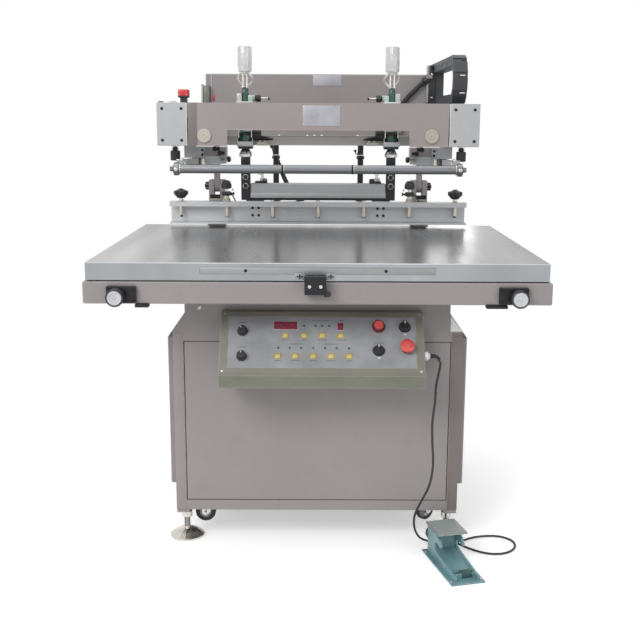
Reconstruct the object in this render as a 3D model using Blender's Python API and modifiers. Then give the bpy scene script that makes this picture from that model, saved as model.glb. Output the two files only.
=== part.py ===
# Flatbed screen printing machine with oblique arms.
# Metres, +Z up, +X to the operator's right, +Y away from the operator.
# The floor is z = 0 and the origin lies under the middle of the whole machine.

import math

import bmesh
import bpy
from mathutils import Matrix, Vector

# Clearance between pieces that touch
GAP = 0.0003

# Printing table
TABLE_HALF_W = 0.600
TABLE_FRONT = -0.500
TABLE_DEPTH = 0.927
TABLE_TOP = 0.834
TABLE_THICK = 0.048
TABLE_FLOAT = 0.002
PAD_HALF = 0.030
PAD_INSET_X = 0.150
PAD_INSET_Y = 0.120
STRIP_HALF_W = 0.305
STRIP_LOW = 0.018
STRIP_H = 0.022
STRIP_DEPTH = 0.004

# Bed frame
BED_PROUD_X = 0.008
BED_PROUD_Y = 0.003
BED_LEDGE = 0.113
BED_THICK = 0.058

# Cabinet
CAB_HALF_W = 0.401
CAB_SETBACK = 0.150
CAB_DEPTH = 0.750
CAB_BOTTOM = 0.098
NECK_H = 0.056
SHOULDER_H = 0.048
NECK_INSET = 0.035
BASE_RECESS = 0.032
SKIRT = 0.014
PANEL_INSET = 0.032
PANEL_UP = 0.032
PANEL_H = 0.462
PANEL_THICK = 0.015
PANEL_SEAM = 0.002
SIDE_COVER_THICK = 0.017
SIDE_COVER_UP = 0.072
SIDE_COVER_DROP = 0.020
SIDE_COVER_INSET = 0.025

# Levelling feet
FOOT_INSET_X = 0.023
FOOT_INSET_Y = 0.050
FOOT_R = 0.050
FOOT_DISC = 0.006
FOOT_DOME = 0.025
FOOT_ROD_R = 0.008
FOOT_NUT_R = 0.015
FOOT_NUT_Z = 0.062
FOOT_NUT_H = 0.013

# Casters
CASTER_INSET_X = 0.096
CASTER_INSET_Y = 0.085
CASTER_TRAIL = 0.022
WHEEL_R = 0.030
WHEEL_W = 0.024
WHEEL_Z = 0.062
WHEEL_RIM = 0.0084
TREAD_ROUND = 0.0021
FORK_CHEEK = 0.003
FORK_CROWN = 0.004
FORK_GAP = 0.0015
FORK_CAP_R = 0.022
FORK_ARM = 0.010
AXLE_R = 0.004

# Stop block and adjusters on the bed's front
STOP_LEFT = -0.034
STOP_W = 0.056
STOP_DROP = 0.027
STOP_RISE = 0.019
STOP_THICK = 0.034
STOP_RELIEF = 0.018
STOP_STEP = 0.004
ADJ_INSET = 0.102
ADJ_HALF_W = 0.038
ADJ_DROP = 0.010
ADJ_H = 0.044
ADJ_THICK = 0.014
KNOB_OFFSET = 0.011
KNOB_DROP = 0.0255
KNOB_R = 0.023
KNOB_LEN = 0.030
KNOB_RIM = 0.006
KNOB_STEM_R = 0.005
KNOB_STEM = 0.010

# Control box on the cabinet's front
BOX_LEFT = -0.263
BOX_W = 0.550
BOX_RISE = 0.012
BOX_FACE_H = 0.149
BOX_APRON = 0.035
BOX_REACH = 0.145
BOX_TOP_DEPTH = 0.022
FACE_MARGIN_SIDE = 0.0215
FACE_MARGIN_TOP = 0.016
FACE_MARGIN_LOW = 0.024
FACE_INSET = 0.0025

# Controls: inset from the box's near end, and distance up the sloped face from its lower edge
POT_INSET = 0.061
POT_UP = (0.132, 0.057)
POT_R = 0.011
POT_LEN = 0.016
BUTTON_INSET = 0.122
BUTTON_UP = 0.147
BUTTON_R = 0.015
BUTTON_LEN = 0.010
BUTTON_TRAVEL = 0.004
SELECTOR_A_INSET = 0.051
SELECTOR_A_UP = 0.147
SELECTOR_B_INSET = 0.123
SELECTOR_B_UP = 0.076
SELECTOR_R = 0.014
SELECTOR_LEN = 0.018
GRIP_BAR = 0.007
STOP_BUTTON_INSET = 0.047
STOP_BUTTON_UP = 0.083
STOP_BUTTON_R = 0.020
STOP_BUTTON_LEN = 0.026
CONTROL_FLOAT = 0.001
STEM_DEPTH = 0.010
STEM_R = 0.006

# Gland and pedal cord
ROUTE_FINENESS = 20
GLAND_FORWARD = 0.090
GLAND_Z = 0.575
GLAND_R = 0.012
GLAND_LEN = 0.0155
CORD_R = 0.00325
CORD_STEP = 0.0192

# Foot pedal, in its own frame: x across, y back from its middle
PEDAL_X = 0.372
PEDAL_Y = -0.503
PEDAL_TURN = math.radians(14.2)
PEDAL_LEN = 0.228
PEDAL_W = 0.095
PEDAL_FLANGE = 0.004
PEDAL_CHEEK = 0.006
PEDAL_BODY_W = 0.070
PEDAL_TOP = 0.078
PEDAL_END = 0.012
PEDAL_ROUND = 0.006
PEDAL_NOSE = 0.016
PEDAL_DECK_DROP = 0.016
HOOK_ROOT = 0.057
HOOK_TIP = 0.100
HOOK_MOUTH = 0.072
HOOK_BACK = 0.052
HOOK_DEEP = 0.020
HOOK_LOW = 0.042
PEDAL_RIBS = 2
PEDAL_RIB_W = 0.005
PEDAL_RIB_PITCH = 0.018
PEDAL_GLAND_X = -0.015
PEDAL_GLAND_Z = 0.050
PEDAL_GLAND_R = 0.019
PEDAL_GLAND_LEN = 0.0193
TREADLE_LEN = 0.100
TREADLE_W = 0.086
TREADLE_THICK = 0.005
TREADLE_RISE = 0.010
TREADLE_RIBS = 9
TREADLE_RIB_H = 0.0015
TREADLE_INSET = 0.004
TREADLE_HINGE = 0.010
TREADLE_BARREL_R = 0.0055

# Hinge posts and pivot of the print head
PIVOT_BACK = 0.043
PIVOT_RISE = 0.131
POST_IN = 0.325
POST_W = 0.055
POST_DEPTH = 0.050
POST_CAP = 0.022
SLOT_HALF_W = 0.010
SLOT_DEPTH = 0.040
PIN_R = 0.008
PIN_SINK = 0.004
PIVOT_NUT_R = 0.014
PIVOT_NUT_H = 0.012
LINK_HALF_W = 0.009
LINK_R = 0.021

# Side arms, carried by the rear beam over the pivot
ARM_RISE = 0.154
ARM_IN = 0.380
ARM_W = 0.083
ARM_H = 0.122
ARM_SETBACK = 0.370
ARM_TAIL = 0.155
END_PLATE = 0.012
ARM_INSET = 0.002
GROOVE_UP = 0.045
GROOVE_H = 0.032
GROOVE_DEPTH = 0.014

# Rear beam
BEAM_FORWARD = 0.050
BEAM_DEPTH = 0.180
BEAM_H = 0.225

# Screen clamp
CLAMP_HALF_W = 0.504
CLAMP_FORWARD = 0.072
CLAMP_DEPTH = 0.050
CLAMP_RISE = 0.010
CLAMP_H = 0.075
CLAMP_WALL = 0.006
CLAMP_LIP = 0.016
SCREW_INSET = 0.0375
SCREW_R = 0.005
SCREW_UP = 0.022
SCREW_BACK = 0.020
SCREW_HEAD = 0.008
STAR_R = 0.025
STAR_UP = 0.011
STAR_H = 0.028
STAR_LOBES = 5
CARRIER_HALF_W = 0.247
CARRIER_DEPTH = 0.030
CARRIER_UP = 0.034
CARRIER_H = 0.034
LUG_W = 0.061
LUG_RISE = 0.016
HANGER_X = 0.145
HANGER_R = 0.010
HANGER_INSET = 0.006

# Safety bar and the struts that carry it
BAR_REACH = 0.029
BAR_FORWARD = 0.050
BAR_DROP = 0.063
BAR_R = 0.0125
BAR_RING_R = 0.0185
BAR_RING_W = 0.014
BAR_NUT_R = 0.007
BAR_NUT_H = 0.015
STRUT_FRONT = 0.016
STRUT_REAR = 0.080
STRUT_LEN = 0.331
STRUT_HALF_H = 0.0125
STRUT_W = 0.018
STRUT_PAD_LEN = 0.045
STRUT_PAD_SIDE = 0.012
STRUT_PAD_DROP = 0.010
STRUT_PAD_REACH = 0.040
STRUT_SHIM = 0.032
BUFFER_IN = 0.036
BUFFER_BACK = 0.030
BUFFER_R = 0.0143
BUFFER_NECK = 0.013
BUFFER_H = 0.030

# Carriage between the arms
COVER_CLEAR = 0.006
COVER_THICK = 0.003
COVER_DEPTH = 0.030
EAR_W = 0.109
COVER_CUT = 0.047
RAIL_BACK = 0.1033
RAIL_DEPTH = 0.056
RAIL_H = 0.028
RAIL_END = 0.028
SHOE_REACH = 0.0125
SHOE_LEN = 0.1243
SHOE_INSET = 0.005

# Cylinders and squeegee, hung from the carriage
CYL_X = 0.215
CYL_BACK = 0.080
CYL_BLOCK = 0.023
CYL_BLOCK_UP = 0.011
CYL_BLOCK_H = 0.026
CYL_RISE = 0.283
CYL_CAP_R = 0.019
CYL_CAP_H = 0.071
CYL_BODY_R = 0.014
CYL_FIT_R = 0.017
CYL_FIT_UP = 0.129
CYL_FIT_H = 0.037
CYL_COLLAR_H = 0.022
VALVE_UP = 0.0075
VALVE_BODY = 0.028
VALVE_BODY_R = 0.008
VALVE_R = 0.010
VALVE_KNOB = 0.018
VALVE_REACH = 0.073
VALVE_STEM_R = 0.0045
ROD_R = 0.006
ROD_RISE = 0.116
FLANGE_R = 0.019
FLANGE_DROP = 0.033
FLANGE_H = 0.008
CONE_H = 0.018
GRIP_HALF_W = 0.0135
GRIP_H = 0.127
GRIP_DEPTH = 0.024
GRIP_BOLT_UP = 0.042
GRIP_BOLT_PITCH = 0.026
GRIP_BOLT_R = 0.007
GRIP_BOLT_H = 0.004
HOLDER_UP = 0.016
HOLDER_H = 0.034
HOLDER_DEPTH = 0.026
BLADE_OUT = 0.017
BLADE_THICK = 0.009
BLADE_SINK = 0.010

# Drag chain on the right arm
CHAIN_INSET = 0.007
CHAIN_W = 0.040
CHAIN_BACK = 0.020
CHAIN_LOW_STOP = 0.090
CHAIN_OVERLAP = 0.0608
CHAIN_H = 0.140
CHAIN_THICK = 0.030
CHAIN_SPACING = 0.040
CHAIN_PLAY = 0.0056
CHAIN_TAPER = 0.0032
CHAIN_SLOT_W = 0.012
CHAIN_SLOT_ASIDE = 0.010
CHAIN_SLOT = 0.002
CHAIN_OPEN = 0.140
CHAIN_WEB = 0.004
CHAIN_WAIST = 0.004

# Two hoses of the print head: each runs between two glands, and its points are shares of the way
# across, back and down from the first gland to the second
HOSE_R = 0.008
HOSE_STEP = 0.018
HOSE_GLAND_R = 0.011
HOSE_GLAND_LEN = 0.026
HOSE_GLAND_SINK = 0.004
HEAD_HOSE_X = -0.154
HEAD_HOSE_BACK = 0.044
HEAD_HOSE_END_X = -0.070
HEAD_HOSE_END_BACK = 0.017
HEAD_HOSE_END_UP = 0.017
HEAD_HOSE_SHARES = [
    (0.0, 0.0, 0.0),
    (0.03, 0.0, 0.07),
    (0.06, 0.0, 0.14),
    (0.20, 0.12, 0.33),
    (0.345, 0.28, 0.505),
    (0.54, 0.55, 0.71),
    (0.79, 0.92, 0.874),
    (0.895, 0.96, 0.937),
    (1.0, 1.0, 1.0),
]
CHAIN_HOSE_IN = 0.026
CHAIN_HOSE_DOWN = 0.025
CHAIN_HOSE_FORWARD = 0.013
CHAIN_HOSE_END_IN = 0.112
CHAIN_HOSE_END_UP = 0.065
CHAIN_HOSE_SHARES = [
    (0.0, 0.0, 0.0),
    (0.09, 0.0, 0.054),
    (0.18, 0.0, 0.108),
    (0.37, 0.0, 0.225),
    (0.60, 0.0, 0.37),
    (0.80, 0.0, 0.52),
    (0.94, 0.0, 0.67),
    (1.0, 0.0, 0.81),
    (1.0, 0.0, 0.905),
    (1.0, 0.0, 1.0),
]
HOSE_SEAT_HALF = 0.012

# Red switch box on the left arm
SWITCH_IN = 0.050
SWITCH_BACK = 0.350
SWITCH_HALF_W = 0.016
SWITCH_DEPTH = 0.044
SWITCH_FOOT = 0.021
SWITCH_H = 0.047

# What follows from the sizes above
TABLE_LOW = TABLE_TOP - TABLE_THICK
TABLE_REAR = TABLE_FRONT + TABLE_DEPTH
BED_HALF_W = TABLE_HALF_W + BED_PROUD_X
BED_TOP = TABLE_LOW - TABLE_FLOAT
BED_LOW = BED_TOP - BED_THICK
BED_FRONT = TABLE_FRONT - BED_PROUD_Y
BED_REAR = TABLE_REAR + BED_LEDGE
CAB_FRONT = TABLE_FRONT + CAB_SETBACK
CAB_REAR = CAB_FRONT + CAB_DEPTH
CAB_SHOULDER_TOP = BED_LOW - NECK_H
CAB_SHOULDER_LOW = CAB_SHOULDER_TOP - SHOULDER_H
BASE_Z = CAB_BOTTOM + BASE_RECESS
ADJ_X = BED_HALF_W - ADJ_INSET
ADJ_HIGH = BED_TOP - ADJ_DROP
KNOB_Z = ADJ_HIGH - KNOB_DROP
BOX_RIGHT = BOX_LEFT + BOX_W
BOX_TOP = CAB_SHOULDER_TOP + BOX_RISE
BOX_FACE_LOW = BOX_TOP - BOX_FACE_H
BOX_BOTTOM = BOX_FACE_LOW - BOX_APRON
BOX_BACK = CAB_FRONT - GAP
BOX_FRONT = CAB_FRONT - BOX_REACH
BOX_TOP_FRONT = CAB_FRONT - BOX_TOP_DEPTH
PIVOT_Y = TABLE_REAR + PIVOT_BACK
PIVOT_Z = TABLE_TOP + PIVOT_RISE
POST_OUT = POST_IN + POST_W
POST_TOP = PIVOT_Z + POST_CAP
LINK_X = (POST_IN + POST_OUT) / 2
ARM_OUT = ARM_IN + ARM_W
ARM_FRONT = TABLE_FRONT + ARM_SETBACK
ARM_REAR = PIVOT_Y + ARM_TAIL
ARM_LOW = PIVOT_Z + ARM_RISE
ARM_HIGH = ARM_LOW + ARM_H
ARM_UNDER = ARM_LOW + ARM_INSET - GAP
ARM_OVER = ARM_HIGH - ARM_INSET + GAP
GROOVE_LOW = ARM_LOW + GROOVE_UP
GROOVE_HIGH = GROOVE_LOW + GROOVE_H
BEAM_FRONT = PIVOT_Y - BEAM_FORWARD
CLAMP_FRONT = BEAM_FRONT - CLAMP_FORWARD
CLAMP_REAR = CLAMP_FRONT + CLAMP_DEPTH
CLAMP_LOW = TABLE_TOP + CLAMP_RISE
CLAMP_HIGH = CLAMP_LOW + CLAMP_H
CARRIER_LOW = CLAMP_LOW + CARRIER_UP
BAR_Y = ARM_FRONT - BAR_FORWARD
BAR_Z = ARM_LOW - BAR_DROP
COVER_HALF_W = ARM_IN - COVER_CLEAR
RAIL_FRONT = ARM_FRONT + RAIL_BACK
RAIL_REAR = RAIL_FRONT + RAIL_DEPTH
CYL_Y = ARM_FRONT + CYL_BACK
CYL_BLOCK_LOW = ARM_LOW + CYL_BLOCK_UP
CYL_TOP = ARM_LOW + CYL_RISE
ROD_TOP = ARM_LOW + ROD_RISE
FLANGE_LOW = ARM_LOW - FLANGE_DROP
HOLDER_LOW = FLANGE_LOW - GRIP_H + HOLDER_UP
BLADE_LOW = HOLDER_LOW - BLADE_OUT

HEAD_HOSE_START = (
    HEAD_HOSE_X,
    BEAM_FRONT + HEAD_HOSE_BACK,
    ARM_LOW - HOSE_GLAND_LEN + HOSE_GLAND_SINK,
)
HEAD_HOSE_END = (
    HEAD_HOSE_END_X,
    CLAMP_REAR + HEAD_HOSE_END_BACK,
    CARRIER_LOW + CARRIER_H + HEAD_HOSE_END_UP,
)
CHAIN_HOSE_START = (
    ARM_IN - CHAIN_HOSE_IN,
    BEAM_FRONT - CHAIN_HOSE_FORWARD,
    ARM_LOW + BEAM_H - CHAIN_HOSE_DOWN,
)
CHAIN_HOSE_END = (
    ARM_IN - CHAIN_HOSE_END_IN,
    BEAM_FRONT - CHAIN_HOSE_FORWARD,
    ARM_LOW + CHAIN_HOSE_END_UP,
)

FACE_RUN = Vector((0, BOX_TOP_FRONT - BOX_FRONT, BOX_FACE_H))
FACE_LEN = FACE_RUN.length
FACE_UP = FACE_RUN.normalized()
FACE_OUT = Vector((0, -FACE_UP.z, FACE_UP.y))

# The pedal cord's route: out of the gland, down, round behind the pedal and in a loop to its rear
CORD_ROUTE = [
    (0.3031, -0.4400, 0.5750),
    (0.3111, -0.4400, 0.5750),
    (0.3202, -0.4400, 0.5728),
    (0.3275, -0.4405, 0.5665),
    (0.3311, -0.4410, 0.5550),
    (0.3250, -0.4420, 0.5190),
    (0.3200, -0.4420, 0.4870),
    (0.3195, -0.4420, 0.4520),
    (0.3135, -0.4420, 0.3940),
    (0.3145, -0.4420, 0.3390),
    (0.3185, -0.4420, 0.2710),
    (0.3105, -0.4410, 0.2110),
    (0.2890, -0.4370, 0.1600),
    (0.2730, -0.4280, 0.1170),
    (0.2750, -0.4080, 0.0710),
    (0.2930, -0.3780, 0.0290),
    (0.3200, -0.3540, 0.0070),
    (0.3520, -0.3590, 0.0036),
    (0.3850, -0.3600, 0.0036),
    (0.4200, -0.3450, 0.0036),
    (0.4550, -0.3220, 0.0036),
    (0.4930, -0.3110, 0.0036),
    (0.5330, -0.3130, 0.0036),
    (0.5620, -0.3370, 0.0036),
    (0.5690, -0.3700, 0.0036),
    (0.5560, -0.4050, 0.0036),
    (0.5280, -0.4280, 0.0036),
    (0.4940, -0.4330, 0.0036),
    (0.4610, -0.4200, 0.0036),
    (0.4320, -0.3990, 0.0050),
    (0.4000, -0.3770, 0.0110),
    (0.3658, -0.3478, 0.0240),
    (0.3491, -0.3417, 0.0340),
    (0.3324, -0.3478, 0.0420),
    (0.3240, -0.3610, 0.0480),
    (0.3239, -0.3741, 0.0500),
    (0.32758, -0.38862, 0.0500),
]


def wipe_scene():
    """Remove every object that the file starts with."""
    for obj in list(bpy.data.objects):
        bpy.data.objects.remove(obj, do_unlink=True)


def make_material(name, color, roughness, metallic=0.0):
    material = bpy.data.materials.new(name)
    material.use_nodes = True
    shader = material.node_tree.nodes["Principled BSDF"]
    shader.inputs["Base Color"].default_value = (*color, 1.0)
    shader.inputs["Roughness"].default_value = roughness
    shader.inputs["Metallic"].default_value = metallic
    return material


def new_collection(name):
    collection = bpy.data.collections.new(name)
    bpy.context.scene.collection.children.link(collection)
    return collection


wipe_scene()
PARTS = new_collection("flatbed_screen_printing_machine")
CUTTERS = new_collection("cutters")

PAINT = make_material("warm_grey_paint", (0.31, 0.29, 0.30), 0.5)
STEEL = make_material("stainless_steel", (0.62, 0.62, 0.62), 0.3, 1.0)
ALUMINIUM = make_material("anodised_aluminium", (0.50, 0.52, 0.54), 0.4, 1.0)
CHROME = make_material("chrome", (0.75, 0.75, 0.76), 0.15, 1.0)
BLACK = make_material("black_plastic", (0.02, 0.02, 0.02), 0.5)
RUBBER = make_material("black_rubber", (0.02, 0.02, 0.02), 0.85)
RED = make_material("red_plastic", (0.75, 0.07, 0.07), 0.4)
PANEL_GREY = make_material("control_box_grey", (0.42, 0.44, 0.45), 0.5)
CREAM = make_material("off_white_plastic", (0.75, 0.74, 0.70), 0.5)
TEAL = make_material("teal_cast_paint", (0.13, 0.30, 0.33), 0.45)
CYLINDER_GREEN = make_material("green_fitting", (0.08, 0.22, 0.15), 0.4)


def link(obj, material, cutter=False):
    """Put an object in its collection; a cutter is left out of the part."""
    (CUTTERS if cutter else PARTS).objects.link(obj)
    obj.data.materials.append(material)
    if cutter:
        obj.hide_render = True
        obj.display_type = "WIRE"
    return obj


def add_bevel(obj, width, segments=1):
    bevel = obj.modifiers.new("bevel", "BEVEL")
    bevel.width = width
    bevel.segments = segments
    bevel.limit_method = "ANGLE"
    bevel.angle_limit = math.radians(40)
    return obj


def boolean(obj, other, operation):
    step = obj.modifiers.new(operation.lower(), "BOOLEAN")
    step.operation = operation
    step.solver = "EXACT"
    step.object = other
    return obj


def cut(obj, *others):
    for other in others:
        boolean(obj, other, "DIFFERENCE")
    return obj


def join(obj, *others):
    for other in others:
        boolean(obj, other, "UNION")
    return obj


def box(name, low, high, material=None, bevel=0.0, cutter=False):
    """A block from its lowest to its highest corner."""
    low, high = Vector(low), Vector(high)
    bm = bmesh.new()
    bmesh.ops.create_cube(bm, size=1.0)
    bmesh.ops.scale(bm, vec=high - low, verts=bm.verts)
    mesh = bpy.data.meshes.new(name)
    bm.to_mesh(mesh)
    bm.free()
    obj = bpy.data.objects.new(name, mesh)
    obj.location = (low + high) / 2
    link(obj, material or BLACK, cutter)
    if bevel:
        add_bevel(obj, bevel)
    return obj


def form_box(name, low, high, bevel=0.0):
    return box(name, low, high, None, bevel, cutter=True)


def disc(name, radius, start, end, material=None, sides=32, cutter=False, top_radius=None):
    """A round bar, or a cone, from one point to another."""
    start, end = Vector(start), Vector(end)
    axis = end - start
    bm = bmesh.new()
    bmesh.ops.create_cone(
        bm,
        cap_ends=True,
        segments=sides,
        radius1=radius,
        radius2=radius if top_radius is None else top_radius,
        depth=axis.length,
    )
    mesh = bpy.data.meshes.new(name)
    bm.to_mesh(mesh)
    bm.free()
    smooth(mesh)
    obj = bpy.data.objects.new(name, mesh)
    obj.location = (start + end) / 2
    obj.rotation_euler = axis.to_track_quat("Z", "Y").to_euler()
    return link(obj, material or BLACK, cutter)


def form_disc(name, radius, start, end, sides=32, top_radius=None):
    return disc(name, radius, start, end, None, sides, True, top_radius)


def smooth(mesh):
    mesh.shade_smooth()
    mesh.set_sharp_from_angle(angle=math.radians(35))


def outline(name, points, thickness, place, material=None, bevel=0.0, cutter=False):
    """A flat outline in the curve's own XY plane, given its thickness along Z, as a mesh."""
    curve = bpy.data.curves.new(name, "CURVE")
    curve.dimensions = "2D"
    curve.fill_mode = "BOTH"
    curve.extrude = thickness / 2
    spline = curve.splines.new("POLY")
    spline.points.add(len(points) - 1)
    for point, (x, y) in zip(spline.points, points):
        point.co = (x, y, 0, 1)
    spline.use_cyclic_u = True
    drawn = bpy.data.objects.new(name + "_outline", curve)
    drawn.matrix_world = place
    PARTS.objects.link(drawn)
    return curve_to_mesh(drawn, name, material, bevel, cutter)


def curve_to_mesh(drawn, name, material, bevel=0.0, cutter=False):
    """Turn a curve object into a closed mesh object at the same place."""
    graph = bpy.context.evaluated_depsgraph_get()
    mesh = bpy.data.meshes.new_from_object(drawn.evaluated_get(graph))
    bm = bmesh.new()
    bm.from_mesh(mesh)
    bmesh.ops.remove_doubles(bm, verts=bm.verts, dist=0.00001)
    bmesh.ops.recalc_face_normals(bm, faces=bm.faces)
    bm.to_mesh(mesh)
    bm.free()
    mesh.materials.clear()
    obj = bpy.data.objects.new(name, mesh)
    obj.matrix_world = drawn.matrix_world
    bpy.data.objects.remove(drawn, do_unlink=True)
    link(obj, material or BLACK, cutter)
    if bevel:
        add_bevel(obj, bevel)
    return obj


def along_x(x):
    """Outline points are (y, z); thickness runs along X about the given x."""
    return Matrix.Translation((x, 0, 0)) @ Matrix(((0, 0, 1), (1, 0, 0), (0, 1, 0))).to_4x4()


def along_y(y):
    """Outline points are (x, z); thickness runs along Y about the given y."""
    return Matrix.Translation((0, y, 0)) @ Matrix(((1, 0, 0), (0, 0, -1), (0, 1, 0))).to_4x4()


def turned(name, profile, place, material=None, steps=20, cutter=False):
    """A turned solid: (radius, height) pairs from the top of its axis down to the bottom."""
    bm = bmesh.new()
    verts = [bm.verts.new((radius, 0, height)) for radius, height in profile]
    for first, second in zip(verts, verts[1:]):
        bm.edges.new((first, second))
    mesh = bpy.data.meshes.new(name)
    bm.to_mesh(mesh)
    bm.free()
    obj = bpy.data.objects.new(name, mesh)
    obj.matrix_world = place
    link(obj, material or BLACK, cutter)
    screw = obj.modifiers.new("turn", "SCREW")
    screw.axis = "Z"
    screw.steps = steps
    screw.render_steps = steps
    screw.use_smooth_shade = True
    screw.use_merge_vertices = True
    screw.merge_threshold = 0.00001
    return obj


def face_point(x, up, out=0.0):
    """A point on the control box's sloped face, measured up from its lower edge."""
    corner = Vector((x, BOX_FRONT, BOX_FACE_LOW))
    return corner + FACE_UP * up + FACE_OUT * (out - FACE_INSET)


def standing_on(point, direction):
    """A place whose Z axis points along a direction."""
    turn = Vector(direction).to_track_quat("Z", "Y").to_matrix().to_4x4()
    return Matrix.Translation(point) @ turn


def hang_on(name, place, *children):
    """An empty on a joint's axis that carries the pieces of one moving body."""
    empty = bpy.data.objects.new(name, None)
    empty.location = place
    empty.empty_display_size = 0.05
    PARTS.objects.link(empty)
    bpy.context.view_layer.update()
    for child in children:
        child.parent = empty
        child.matrix_parent_inverse = empty.matrix_world.inverted()
    return empty


def build_cabinet():
    profile = [
        (-CAB_HALF_W, CAB_BOTTOM),
        (CAB_HALF_W, CAB_BOTTOM),
        (CAB_HALF_W, CAB_SHOULDER_LOW),
        (CAB_HALF_W - NECK_INSET, CAB_SHOULDER_TOP),
        (CAB_HALF_W - NECK_INSET, BED_LOW - GAP),
        (NECK_INSET - CAB_HALF_W, BED_LOW - GAP),
        (NECK_INSET - CAB_HALF_W, CAB_SHOULDER_TOP),
        (-CAB_HALF_W, CAB_SHOULDER_LOW),
    ]
    middle = (CAB_FRONT + CAB_REAR) / 2
    cabinet = outline("cabinet", profile, CAB_DEPTH, along_y(middle), PAINT, 0.002)
    half = CAB_HALF_W - PANEL_INSET
    low = CAB_BOTTOM + PANEL_UP
    recess = form_box(
        "front_recess",
        (-half - PANEL_SEAM, CAB_FRONT - PANEL_THICK, low - PANEL_SEAM),
        (half + PANEL_SEAM, CAB_FRONT + PANEL_THICK, low + PANEL_H + PANEL_SEAM),
    )
    underside = form_box(
        "base_recess",
        (-CAB_HALF_W + SKIRT, CAB_FRONT + SKIRT, CAB_BOTTOM - BASE_RECESS),
        (CAB_HALF_W - SKIRT, CAB_REAR - SKIRT, BASE_Z),
    )
    cut(cabinet, recess, underside)
    box(
        "front_panel",
        (-half, CAB_FRONT, low),
        (half, CAB_FRONT + PANEL_THICK - GAP, low + PANEL_H),
        PAINT,
        0.0015,
    )
    reach = CAB_HALF_W + SIDE_COVER_THICK
    side_covers = form_box(
        "side_covers",
        (-reach, CAB_FRONT + SIDE_COVER_INSET, CAB_BOTTOM + SIDE_COVER_UP),
        (reach, CAB_REAR - SIDE_COVER_INSET, CAB_SHOULDER_LOW - SIDE_COVER_DROP),
        0.003,
    )
    join(cabinet, side_covers)


def build_bed():
    box(
        "bed_frame",
        (-BED_HALF_W, BED_FRONT, BED_LOW),
        (BED_HALF_W, BED_REAR, BED_TOP),
        PAINT,
        0.003,
    )


def build_table():
    table = box(
        "printing_table",
        (-TABLE_HALF_W, TABLE_FRONT, TABLE_LOW),
        (TABLE_HALF_W, TABLE_REAR, TABLE_TOP),
        STEEL,
        0.002,
    )
    low = TABLE_LOW + STRIP_LOW
    strip = form_box(
        "strip_recess",
        (-STRIP_HALF_W, TABLE_FRONT - STRIP_DEPTH, low),
        (STRIP_HALF_W, TABLE_FRONT + STRIP_DEPTH, low + STRIP_H),
    )
    cut(table, strip)
    x = TABLE_HALF_W - PAD_INSET_X
    for side_x in (-x, x):
        for y in (TABLE_FRONT + PAD_INSET_Y, TABLE_REAR - PAD_INSET_Y):
            pad = form_box(
                "slide_pad",
                (side_x - PAD_HALF, y - PAD_HALF, BED_TOP + GAP),
                (side_x + PAD_HALF, y + PAD_HALF, TABLE_LOW + TABLE_FLOAT),
            )
            join(table, pad)
    hang_on("table_slide", (0, TABLE_FRONT, TABLE_LOW), table)


def build_stop_block():
    back = BED_FRONT - GAP
    front = back - STOP_THICK
    step = BED_TOP - STOP_STEP
    low, high = BED_TOP - STOP_DROP, TABLE_LOW + STOP_RISE
    points = [
        (back, low),
        (back, step),
        (back - STOP_RELIEF, step),
        (back - STOP_RELIEF, high),
        (front, high),
        (front, low),
    ]
    outline("stop_block", points, STOP_W, along_x(STOP_LEFT + STOP_W / 2), BLACK, 0.001)


def build_adjusters():
    back = BED_FRONT - GAP
    front = back - ADJ_THICK
    for side, word in ((-1, "left"), (1, "right")):
        bracket = box(
            "adjuster_bracket_" + word,
            (side * ADJ_X - ADJ_HALF_W, front, ADJ_HIGH - ADJ_H),
            (side * ADJ_X + ADJ_HALF_W, back, ADJ_HIGH),
            BLACK,
            0.002,
        )
        x = side * (ADJ_X + KNOB_OFFSET)
        hole = form_disc(
            "stem_hole",
            KNOB_STEM_R + GAP,
            (x, front - KNOB_STEM, KNOB_Z),
            (x, front + KNOB_STEM + GAP, KNOB_Z),
            16,
        )
        cut(bracket, hole)
        profile = [
            (0, KNOB_LEN),
            (KNOB_R - 0.005, KNOB_LEN),
            (KNOB_R, KNOB_LEN - 0.004),
            (KNOB_R, KNOB_RIM),
            (KNOB_R - KNOB_RIM, CONTROL_FLOAT),
            (KNOB_STEM_R, CONTROL_FLOAT),
            (KNOB_STEM_R, -KNOB_STEM),
            (0, -KNOB_STEM),
        ]
        place = standing_on((x, front, KNOB_Z), (0, -1, 0))
        knob = turned("adjuster_knob_" + word, profile, place, BLACK, 24)
        hang_on("adjuster_axis_" + word, (x, front, KNOB_Z), knob)


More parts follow.
